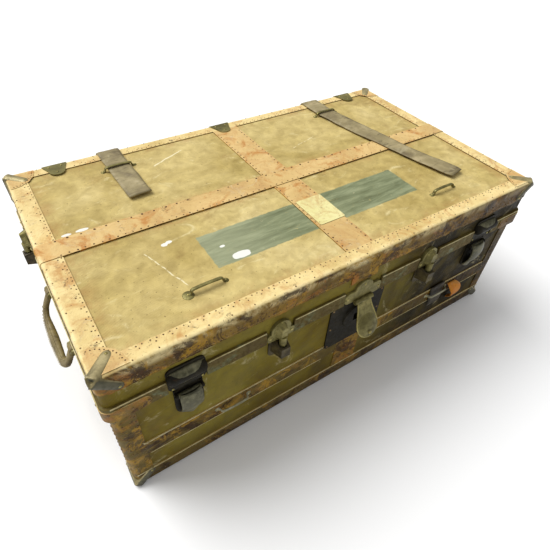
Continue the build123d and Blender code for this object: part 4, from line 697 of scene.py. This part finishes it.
def settled(name, bm, voxel, material, body, smoothing=4):
    """Melts overlapping forms into one skin, as cast or raised metal has."""
    raw = bpy.data.meshes.new(name + "_raw")
    bmesh.ops.recalc_face_normals(bm, faces=bm.faces)
    bm.to_mesh(raw)
    bm.free()
    holder = shown(name + "_raw", raw)
    melt = holder.modifiers.new("melt", "REMESH")
    melt.mode = "VOXEL"
    melt.voxel_size = voxel
    ease = holder.modifiers.new("ease", "SMOOTH")
    ease.factor = 0.5
    ease.iterations = smoothing
    depsgraph = bpy.context.evaluated_depsgraph_get()
    final = bmesh.new()
    final.from_mesh(bpy.data.meshes.new_from_object(holder.evaluated_get(depsgraph)))
    bpy.data.objects.remove(holder)
    return piece(name, final, material, body)


def tongue(bm, start, along, normal, length, wide, tall, tip=0.75):
    """A domed tongue of metal that lies on a face and narrows to a round end."""
    start, along, normal = Vector(start), Vector(along).normalized(), Vector(normal)
    side = along.cross(normal)
    rings, steps, arc = [], 16, 12
    for step in range(steps + 1):
        share = step / steps
        reach = length * math.sin(share * math.pi / 2)
        half = wide / 2 * (1 - (1 - tip) * share)
        half *= math.sqrt(max(1 - max(0, (reach - length + half) / half) ** 2, 0.02))
        high = tall * (1 - 0.45 * share) * min(1, half / (wide * 0.22))
        ring = []
        for k in range(arc + 1):
            angle = math.pi * k / arc
            shape = abs(math.sin(angle)) ** 0.7
            ring.append(bm.verts.new(start + along * reach + side * math.cos(angle) * half
                                     + normal * (shape * high - 0.0012)))
        rings.append(ring)
    skin(bm, rings)
    bm.faces.new(rings[0])
    bm.faces.new(list(reversed(rings[-1])))


# Claw caps with their rivets
def claws(name, half_x, half_y, level, way, body, replaced, arms):
    bm = bmesh.new()
    rivets = bmesh.new()
    for sx in (-1, 1):
        for sy in (-1, 1):
            corner = Vector((sx * half_x, sy * half_y, level))
            inset = 0.0105
            ball = bmesh.ops.create_icosphere(bm, subdivisions=3, radius=0.0122)["verts"]
            heart = corner - Vector((sx * inset, sy * inset, way * inset))
            for vert in ball:
                vert.co += heart
            faces = [((-sx, 0, -way), (0, sy, 0)), ((0, -sy, -way), (sx, 0, 0))]
            if arms == 3:
                faces.append(((-sx, -sy, 0), (0, 0, way)))
            for along, normal in faces:
                direction = Vector(along).normalized()
                start = corner + direction * 0.0045
                tongue(bm, start, along, normal, 0.047, 0.0195, 0.0048)
                dome(rivets, start + direction * 0.040 + Vector(normal) * 0.0014, normal,
                     0.0028, 0.0016, 10)
    made = settled(name, bm, 0.0013, "claw_brass", body)
    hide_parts(replaced)
    piece(name + "_rivets", rivets, "brass_painted_highlight", body)


claws("lid_claws", LID_X, LID_Y, TOP, 1, "lid", "lid_corner_caps", 3)
claws("body_claws", BODY_X, BODY_Y, 0.0, -1, "trunk_body", "body_corner_caps", 2)

# Thin hide patches under the claws on the lid, nailed along their curve
bm = bmesh.new()
patch_nails = bmesh.new()
for sx in (-1, 1):
    for sy in (-1, 1):
        ring_low, ring_high = [], []
        hub = Vector((sx * (LID_X - 0.004), sy * (LID_Y - 0.004), TOP))
        outline = [Vector((0, 0, 0))]
        for step in range(13):
            angle = math.pi / 2 * step / 12
            reach = 0.049 + 0.002 * noise.noise(Vector((sx * 3, sy * 5, step * 0.7)))
            outline.append(Vector((-sx * reach * math.cos(angle), -sy * reach * math.sin(angle),
                                   0)))
        for point in outline:
            ring_low.append(bm.verts.new(hub + point - Vector((0, 0, 0.0003))))
            ring_high.append(bm.verts.new(hub + point + Vector((0, 0, 0.0008))))
        bm.faces.new(ring_high)
        bm.faces.new(list(reversed(ring_low)))
        for k in range(len(outline)):
            after = (k + 1) % len(outline)
            bm.faces.new((ring_low[k], ring_low[after], ring_high[after], ring_high[k]))
        for point in outline[2:-1]:
            dome(patch_nails, hub + point * 0.92 + Vector((0, 0, 0.0007)), UP, 0.0013, 0.0008, 6)
piece("corner_patches", bm, "hide_band", "lid", smooth=False)
piece("corner_patch_nails", patch_nails, "tack_iron", "lid")

# Worn lower edge of the lid's hide binding, uneven where it has torn from nail to nail
bm = bmesh.new()


def torn_edge(start, end, normal, skip=()):
    start, end, normal = Vector(start), Vector(end), Vector(normal)
    count = int((end - start).length / 0.0025)
    previous = None
    for step in range(count + 1):
        point = start.lerp(end, step / count)
        hidden = any(abs(point[axis] - middle) < half for axis, middle, half in skip)
        scallop = abs(math.sin(step * 0.0025 / 0.0105 * math.pi)) * 0.0014
        drop = 0.0016 + scallop + max(0, noise.noise(point * 26)) * 0.0055
        corners = [bm.verts.new(point + normal * out + Vector((0, 0, rise)))
                   for out, rise in ((0.0002, 0.0006), (0.0003, -drop),
                                     (-0.0018, -drop), (-0.0018, 0.0006))]
        if previous and not hidden:
            for k in range(4):
                bm.faces.new((previous[k], previous[(k + 1) % 4], corners[(k + 1) % 4],
                              corners[k]))
        previous = corners


torn_edge((-0.443, -LID_Y, 0.303), (0.443, -LID_Y, 0.303), FRONT, [(0, CROSS_BAND_X, 0.031)])
torn_edge((0.443, LID_Y, 0.303), (-0.443, LID_Y, 0.303), BACK,
          [(0, c, 0.025) for c in (*HINGES, -STRAP_X, STRAP_X)])
for x in (-1, 1):
    torn_edge((x * LID_X, -x * 0.248, 0.303), (x * LID_X, x * 0.248, 0.303), (x, 0, 0),
              [(1, LONG_BAND_Y, 0.023)])
loose = [v for v in bm.verts if not v.link_faces]
bmesh.ops.delete(bm, geom=loose, context="VERTS")
piece("binding_edge", bm, "hide", "lid", smooth=False)

# Straps: old leather over the lid's back edge
STRAP_LEVEL = 0.3431
STRAP_TURN_Y = 0.2564


def over_the_edge(x):
    """Stations from the nailed tail up the back and round the top edge."""
    made = []
    for step in range(10):
        z = 0.297 + 0.038 * step / 9
        made.append(((x, 0.2644, z), (1, 0, 0), (0, 1, 0), 1.0))
    for step in range(1, 8):
        angle = math.pi / 2 * step / 8
        made.append(((x, STRAP_TURN_Y + 0.008 * math.cos(angle), 0.3351 + 0.008 * math.sin(angle)),
                     (1, 0, 0), (0, math.cos(angle), math.sin(angle)), 1.0))
    return made


bm = bmesh.new()
stations = over_the_edge(-STRAP_X)
for step in range(28):
    share = step / 27
    y = STRAP_TURN_Y - (STRAP_TURN_Y - 0.077) * share
    lift = 0.0016 * max(0, share - 0.75) / 0.25
    wave = 0.0005 * math.sin(share * 21)
    lean = (1, 0.04 * share, 0.02 * share)
    stations.append(((-STRAP_X + 0.002 * share, y, STRAP_LEVEL + lift + wave), lean, UP,
                     1.0 - 0.03 * share))
ribbon(bm, stations, 0.0445, 0.0030, 0.0011)
left_strap = piece("strap_left_leather", bm, "strap_leather", "lid")
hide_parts("strap_left")

bm = bmesh.new()
stations = over_the_edge(STRAP_X)
for step in range(10):
    y = STRAP_TURN_Y - (STRAP_TURN_Y - 0.195) * step / 9
    stations.append(((STRAP_X, y, STRAP_LEVEL), (1, 0, 0), UP, 1.0))
for step in range(1, 46):
    share = step / 45
    y = 0.195 - (0.195 + 0.166) * share
    x = STRAP_X + 0.068 * (share ** 1.15)
    slope = 0.068 * 1.15 * share ** 0.15 / 0.361
    across = Vector((1, slope, 0.03 * math.sin(share * 7))).normalized()
    lift = 0.0007 * math.sin(share * 17) + 0.0035 * max(0, share - 0.8) / 0.2
    narrow = 1.0 - 0.05 * share if share < 0.96 else 0.95 - (share - 0.96) * 4
    stations.append(((x, y, STRAP_LEVEL + max(lift, -0.0003)), across, UP, narrow))
ribbon(bm, stations, 0.0445, 0.0030, 0.0012)
right_strap = piece("strap_right_leather", bm, "strap_leather", "lid")
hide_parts("strap_right")

bm = bmesh.new()
for x in (-STRAP_X, STRAP_X):
    for dx in (-0.013, 0.0, 0.013):
        for z in (0.3005, 0.3090):
            dome(bm, (x + dx, 0.2658, z), BACK, 0.0022, 0.0014, 8)
piece("strap_tail_nails", bm, "tack_iron", "lid")

bm = bmesh.new()
stations = []
for step in range(16):
    share = step / 15
    z = 0.078 + 0.057 * share
    out = 0.0017 + 0.0025 * (1 - share) ** 2 + 0.0006 * math.sin(share * 9)
    stations.append(((STRAP_X + 0.002 * math.sin(share * 5), -BODY_Y - out, z), (1, 0, 0.05),
                     FRONT, 1.0 - 0.12 * (1 - share) ** 3))
ribbon(bm, stations, 0.0440, 0.0030, 0.0016)
stub = piece("strap_stub_leather", bm, "dark_leather", "trunk_body")
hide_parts("strap_stub")

# Loose petal of bright hide that has torn from the body's binding and curls outwards
bm = bmesh.new()
stations = []
for step in range(25):
    share = step / 24
    out = 0.0165 * math.sin(math.pi * min(share * 1.05, 1.0)) ** 0.7 + 0.0012
    z = 0.118 - 0.054 * share + 0.006 * math.sin(math.pi * share)
    slope = 0.9 * math.cos(math.pi * share)
    wide = math.sin(math.pi * (0.06 + 0.90 * share) ** 0.62) ** 0.6
    stations.append(((0.310 + 0.010 * share, -BODY_Y - out, z),
                     (1, 0.12 * math.sin(share * 5), 0.25 * share),
                     (0, -1, slope), max(wide, 0.12)))
ribbon(bm, stations, 0.036, 0.0026, 0.0014)
piece("torn_curl", bm, "orange_hide", "trunk_body")

# Strap keepers: a thin bridge between two riveted eyes
EYE_REACH = 0.0312


def keepers(name, places, outward, body, replaced, finish="brass", washers=()):
    bm = bmesh.new()
    rivets = bmesh.new()
    up = Vector(outward)
    along = Vector((1, 0, 0))
    half = [(0.011, 0.0097), (0.0225, 0.0090), (0.0258, 0.0072), (0.0268, 0.0030),
            (0.0285, 0.0014), (EYE_REACH, 0.0010)]
    line = [(-a, b) for a, b in reversed(half)] + [(0.0, 0.0099)] + half
    dense = []
    for (a, b), (c, d) in zip(line, line[1:]):
        dense += [(a + (c - a) * k / 4, b + (d - b) * k / 4) for k in range(4)]
    dense.append(line[-1])
    for place in places:
        middle = Vector(place)
        points = [middle + along * a + up * b for a, b in dense]
        tube(bm, points, 0.0034, 10, 0.45, up)
        for side in (-1, 1):
            eye = middle + along * side * EYE_REACH
            dome(bm, eye - up * 0.0002, up, 0.0052, 0.0019, 18)
            dome(rivets, eye + up * 0.0015, up, 0.0026, 0.0014, 12)
    for x, y in washers:
        dome(bm, Vector((x, y, CANVAS_TOP - 0.0002)), up, 0.0100, 0.0016, 20)
    made = piece(name, bm, finish, body)
    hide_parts(replaced)
    piece(name + "_rivets", rivets, "brass_painted_highlight", body)


keepers("lid_strap_keepers", [(sx * STRAP_X, sy * 0.19, CANVAS_TOP) for sx in (-1, 1)
                              for sy in (-1, 1)], UP, "lid", "lid_keepers",
        washers=[(-STRAP_X - EYE_REACH, -0.19)])
keepers("front_strap_keepers", [(sx * STRAP_X, -BODY_Y, 0.112) for sx in (-1, 1)], FRONT,
        "trunk_body", "front_keepers", "wire")

# End handles: a stitched leather grip on each pair of eyes
for side, body in ((-1, "handle_left"), (1, "handle_right")):
    axis = Vector((side * 0.4626, 0, GRIP_Z))
    lie = math.radians(26)
    down = Vector((side * math.sin(lie), 0, -math.cos(lie)))
    face = Vector((side * math.cos(lie), 0, math.sin(lie)))
    line = []
    for step in range(41):
        share = step / 40 * 2 - 1
        y = GRIP_Y * math.copysign(min(abs(share) * 1.22, 1.0) ** 0.98, share)
        depth = 0.050 * (1 - max(0, (abs(share) - 0.52) / 0.48) ** 2.3)
        line.append((y, depth, abs(share)))
    bm = bmesh.new()
    stitches = bmesh.new()
    rings = []
    for index, (y, depth, far) in enumerate(line):
        before = line[max(index - 1, 0)]
        after = line[min(index + 1, 40)]
        along = Vector((0, after[0] - before[0], 0)) + down * (after[1] - before[1])
        along.normalize()
        inward = along.cross(face).normalized()
        centre = axis + Vector((0, y, 0)) + down * depth
        half = 0.0080 + 0.0035 * max(0, 1 - far * 1.25)
        thick = 0.0048 + 0.0022 * max(0, 1 - far * 1.4)
        ring = []
        for k in range(20):
            angle = 2 * math.pi * k / 20
            across = math.copysign(abs(math.cos(angle)) ** 0.75, math.cos(angle))
            lift = math.copysign(abs(math.sin(angle)) ** 0.75, math.sin(angle))
            bump = 1 + 0.04 * noise.noise(centre * 90 + Vector((k, 0, 0)))
            ring.append(bm.verts.new(centre + inward * across * half * bump
                                     + face * lift * thick * bump))
        rings.append(ring)
        if 3 < index < 37:
            for edge_side in (-1, 1):
                tip = centre + inward * edge_side * half * 0.72 + face * thick * 0.93
                tube(stitches, [tip - along * 0.0016, tip + face * 0.0005,
                                tip + along * 0.0016], 0.0005, 6, 1.0, face)
    skin(bm, rings)
    for end in (rings[0], rings[-1]):
        bm.faces.new(end)
    for place in (-GRIP_Y, GRIP_Y):
        tube(bm, [axis + Vector((0, place + dy, 0))
                  for dy in (-0.0079, -0.004, 0, 0.004, 0.0079)], 0.0068, 18)
    grip = piece(body + "_grip", bm, "grip_leather", body)
    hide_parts(body)
    piece(body + "_stitches", stitches, "thread", body)

# Draw latches: the smooth hood on the lid and the crowned lever on the body
bm = bmesh.new()
for x in (-LATCH_X, LATCH_X):
    rings = []
    for step in range(25):
        share = step / 24 * 2 - 1
        swell = (1 - abs(share) ** 5) ** 0.5
        ring = []
        for k in range(20):
            angle = math.pi * k / 19
            ring.append(bm.verts.new((
                x + share * 0.0305, -0.2627 - math.sin(angle) * 0.0128 * swell,
                0.2710 + math.cos(angle) * 0.0135 * (0.55 + 0.45 * swell))))
        rings.append(ring)
    skin(bm, rings)
    bm.faces.new(rings[0])
    bm.faces.new(list(reversed(rings[-1])))
piece("latch_hood_barrels", bm, "latch_iron", "lid")

for x, body in ((-LATCH_X, "latch_lever_left"), (LATCH_X, "latch_lever_right")):
    bm = bmesh.new()
    sheets = []
    for inner in (0, 1):
        sheet = []
        for row in range(21):
            v = row / 20
            z = 0.2262 - 0.0660 * v
            bulge = 0.0110 * math.sin(math.pi * min(v * 1.02 + 0.12, 1.0)) ** 0.8
            base = 0.2653 + bulge * 0.9 - 0.0030 * v
            foot = max(0, (v - 0.72) / 0.28)
            half = 0.0186 * math.sqrt(max(1 - foot ** 2 * 0.92, 0.03))
            head = max(0, (0.12 - v) / 0.12)
            half *= math.sqrt(1 - head ** 2 * 0.25)
            line = []
            for column in range(15):
                u = column / 14 * 2 - 1
                crown = 0.0032 * (1 - abs(u) ** 2.4)
                out = base + crown - (0.0028 if inner else 0.0)
                line.append(bm.verts.new((x + u * half, -out, z)))
            sheet.append(line)
        sheets.append(sheet)
    outer, under = sheets
    for row in range(20):
        for column in range(14):
            bm.faces.new((outer[row][column], outer[row][column + 1],
                          outer[row + 1][column + 1], outer[row + 1][column]))
            bm.faces.new((under[row][column], under[row + 1][column],
                          under[row + 1][column + 1], under[row][column + 1]))
        for column in (0, 14):
            bm.faces.new((outer[row][column], outer[row + 1][column],
                          under[row + 1][column], under[row][column]))
    for row in (0, 20):
        for column in range(14):
            bm.faces.new((outer[row][column], outer[row][column + 1],
                          under[row][column + 1], under[row][column]))
    tube(bm, [(x + dx, -0.2653, 0.222) for dx in (-0.0188, -0.01, 0, 0.01, 0.0188)], 0.0041, 16)
    lever = piece(body + "_plate", bm, "latch_iron", body)
    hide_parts(body)

# Hasp: a rolled rim round its outline and a small button, in the lighter brass of a painted
# highlight
tilt = math.radians(25)
hasp_out = Vector((0, -math.cos(tilt), math.sin(tilt)))
hasp_up = Vector((0, math.sin(tilt), math.cos(tilt)))
hasp_axis = Vector((HASP_X, -0.2697, 0.239))


def on_hasp(across, along, out):
    return hasp_axis + Vector((across, 0, 0)) + hasp_up * along + hasp_out * out


half_line = [(0.0148, -0.004)]
for step in range(1, 13):
    share = step / 12
    ease_in = share * share * (3 - 2 * share)
    half_line.append((0.0148 + 0.0090 * ease_in, -0.004 - 0.050 * share))
for step in range(1, 12):
    angle = math.pi / 2 * step / 11
    half_line.append((0.0238 * math.cos(angle), -0.054 - 0.0238 * math.sin(angle)))
rim = [on_hasp(a, b, 0.0012) for a, b in half_line]
rim += [on_hasp(-a, b, 0.0012) for a, b in reversed(half_line[:-1])]
bm = bmesh.new()
tube(bm, rim, 0.0016, 8, 1.0, hasp_out)
dome(bm, on_hasp(0, -0.0668, 0.0070), hasp_out, 0.0044, 0.0022, 14)
piece("hasp_rim", bm, "brass_painted_highlight", "hasp")

# Rivets of the fittings on the lid
bm = bmesh.new()
for x, z in ((-0.031, 0.2520), (0.041, 0.2520), (HASP_X, 0.2740)):
    dome(bm, (x, -CANVAS_Y - 0.0054, z), FRONT, 0.0030, 0.0016, 10)
for x in (-DOWEL_X, DOWEL_X):
    for dx in (-0.0205, 0.0205):
        dome(bm, (x + dx, -CANVAS_Y - 0.0054, 0.2505), FRONT, 0.0034, 0.0020, 10)
    # A small dome on each dowel, in the lighter brass that paints a highlight
    dome(bm, (x, -CANVAS_Y - 0.0054, 0.2800), FRONT, 0.0024, 0.0014, 10)
for sx in (-1, 1):
    for dy in (-0.0205, 0.0205):
        dome(bm, (sx * (CANVAS_X + 0.0054), END_DOWEL_Y + dy, 0.2505), (sx, 0, 0),
             0.0034, 0.0020, 10)
for x in HINGES:
    for dx, y in ((-0.012, 0.250), (0.012, 0.250), (0.0, 0.230)):
        dome(bm, (x + dx, y, TOP + 0.0017), UP, 0.0024, 0.0013, 10)
    for dx in (-0.014, 0.014):
        for y, z in ((LID_Y, 0.318), (CANVAS_Y, 0.290), (CANVAS_Y, 0.262)):
            dome(bm, (x + dx, y + 0.0017, z), BACK, 0.0024, 0.0013, 10)
for x in (-LATCH_X, LATCH_X):
    for dx in (-0.024, 0.024):
        dome(bm, (x + dx, -CANVAS_Y - 0.0029, 0.2430), FRONT, 0.0024, 0.0014, 10)
piece("lid_rivets", bm, "brass_painted_highlight", "lid")

# Rivets of the fittings on the body
bm = bmesh.new()
for x in (-0.053, 0.063):
    for z in (0.1245, 0.176, 0.2275):
        dome(bm, (x, -BODY_CANVAS_Y - 0.0024, z), FRONT, 0.0024, 0.0013, 10)
for x in (-DOWEL_X, DOWEL_X):
    dome(bm, (x, -BODY_CANVAS_Y - 0.0019, 0.1985), FRONT, 0.0026, 0.0016, 10)
for sx in (-1, 1):
    dome(bm, (sx * (BODY_CANVAS_X + 0.0019), END_DOWEL_Y, 0.1985), (sx, 0, 0),
         0.0026, 0.0016, 10)
    for place in (-GRIP_Y, GRIP_Y):
        for dy, dz in ((-0.011, 0.0165), (0.011, 0.0165), (-0.011, -0.0165), (0.011, -0.0165)):
            dome(bm, (sx * (BODY_CANVAS_X + 0.0024), place + dy, GRIP_Z + dz), (sx, 0, 0),
                 0.0024, 0.0013, 10)
for x in HINGES:
    for dx in (-0.014, 0.014):
        for z in (0.186, 0.210):
            dome(bm, (x + dx, BODY_CANVAS_Y + 0.0017, z), BACK, 0.0024, 0.0013, 10)
for x in (-LATCH_X, LATCH_X):
    for dx in (-0.012, 0.012):
        dome(bm, (x + dx, -BODY_CANVAS_Y - 0.0029, 0.1665), FRONT, 0.0022, 0.0013, 10)
piece("body_rivets", bm, "tack_iron", "trunk_body")

# Nails of the valance and its tabs
bm = bmesh.new()
for x in (-1, 1):
    for reach in (0.396, 0.420):
        dome(bm, (x * reach, -VALANCE_Y - 0.0011, 0.2508), FRONT, 0.0022, 0.0014, 8)
    for y in (-0.235, -0.205, 0.205, 0.235):
        dome(bm, (x * (VALANCE_X + 0.0011), y, 0.2508), (x, 0, 0), 0.0022, 0.0014, 8)
row_along_x(bm, 0.380, -VALANCE_Y, 0.2460, FRONT, 0.024, gaps=[(0, m, h) for m, h in FITTINGS])
for x in (-1, 1):
    row_along_y(bm, x * VALANCE_X, 0.19, 0.2460, (x, 0, 0), 0.024,
                gaps=[(1, END_DOWEL_Y, 0.029)])
piece("valance_nails", bm, "tack_iron", "lid")

# Floor, light and camera
floor_mesh = bpy.data.meshes.new("floor")
bm = bmesh.new()
bmesh.ops.create_grid(bm, x_segments=1, y_segments=1, size=14)
bm.to_mesh(floor_mesh)
bm.free()
floor = shown("floor", floor_mesh)
floor.location.z = -0.0002
ground = Tree("floor_finish")
path = ground.nodes.new("ShaderNodeLightPath")
seen = ground.math("MAXIMUM", path.outputs["Is Camera Ray"], path.outputs["Is Glossy Ray"])
seen = ground.math("MAXIMUM", seen, path.outputs["Is Transmission Ray"])
ground.finish(ground.mix(seen, (0.62, 0.62, 0.62, 1), (0.98, 0.98, 0.98, 1)), 0.9,
              ground.noise(40), 0.02, specular=0.0)
floor_mesh.materials.append(ground.material)

world = bpy.data.worlds.new("studio")
bpy.context.scene.world = world
world.use_nodes = True
air = world.node_tree
backdrop = air.nodes["Background"]
look = air.nodes.new("ShaderNodeLightPath")
highest = air.nodes.new("ShaderNodeMath")
highest.operation = "MAXIMUM"
air.links.new(look.outputs["Is Camera Ray"], highest.inputs[0])
air.links.new(look.outputs["Is Transmission Ray"], highest.inputs[1])
blend = air.nodes.new("ShaderNodeMix")
blend.data_type = "RGBA"
air.links.new(highest.outputs[0], blend.inputs[0])
spot = air.nodes.new("ShaderNodeTexCoord")
parts = air.nodes.new("ShaderNodeSeparateXYZ")
air.links.new(spot.outputs["Generated"], parts.inputs[0])
sky = air.nodes.new("ShaderNodeValToRGB")
air.links.new(parts.outputs[2], sky.inputs[0])
sky.color_ramp.elements[0].color = (0.20, 0.20, 0.20, 1)
sky.color_ramp.elements[1].color = (0.66, 0.66, 0.66, 1)
air.links.new(sky.outputs[0], blend.inputs[6])
blend.inputs[7].default_value = (1, 1, 1, 1)
air.links.new(blend.outputs[2], backdrop.inputs[0])
backdrop.inputs[1].default_value = 1.0

sun = bpy.data.lights.new("key", "SUN")
sun.energy = 2.75
sun.angle = math.radians(42)
key = shown("key", sun)
key.rotation_mode = "QUATERNION"
key.rotation_quaternion = Vector((0.36, -0.50, -0.80)).to_track_quat("-Z", "Y")

camera = bpy.data.cameras.new("camera")
camera.sensor_width = 36
camera.lens = 29.28
viewer = shown("camera", camera)
right = Vector((0.8340921, -0.5495026, 0.0483443))
above = Vector((0.3579340, 0.6058212, 0.7105377))
back = Vector((-0.4197304, -0.5753499, 0.7019964))
viewer.matrix_world = Matrix((
    (right.x, above.x, back.x, -0.44996), (right.y, above.y, back.y, -0.61916),
    (right.z, above.z, back.z, 0.82646), (0, 0, 0, 1)))
camera.clip_start = 0.01
bpy.context.scene.camera = viewer
bpy.context.scene.view_settings.view_transform = "Standard"
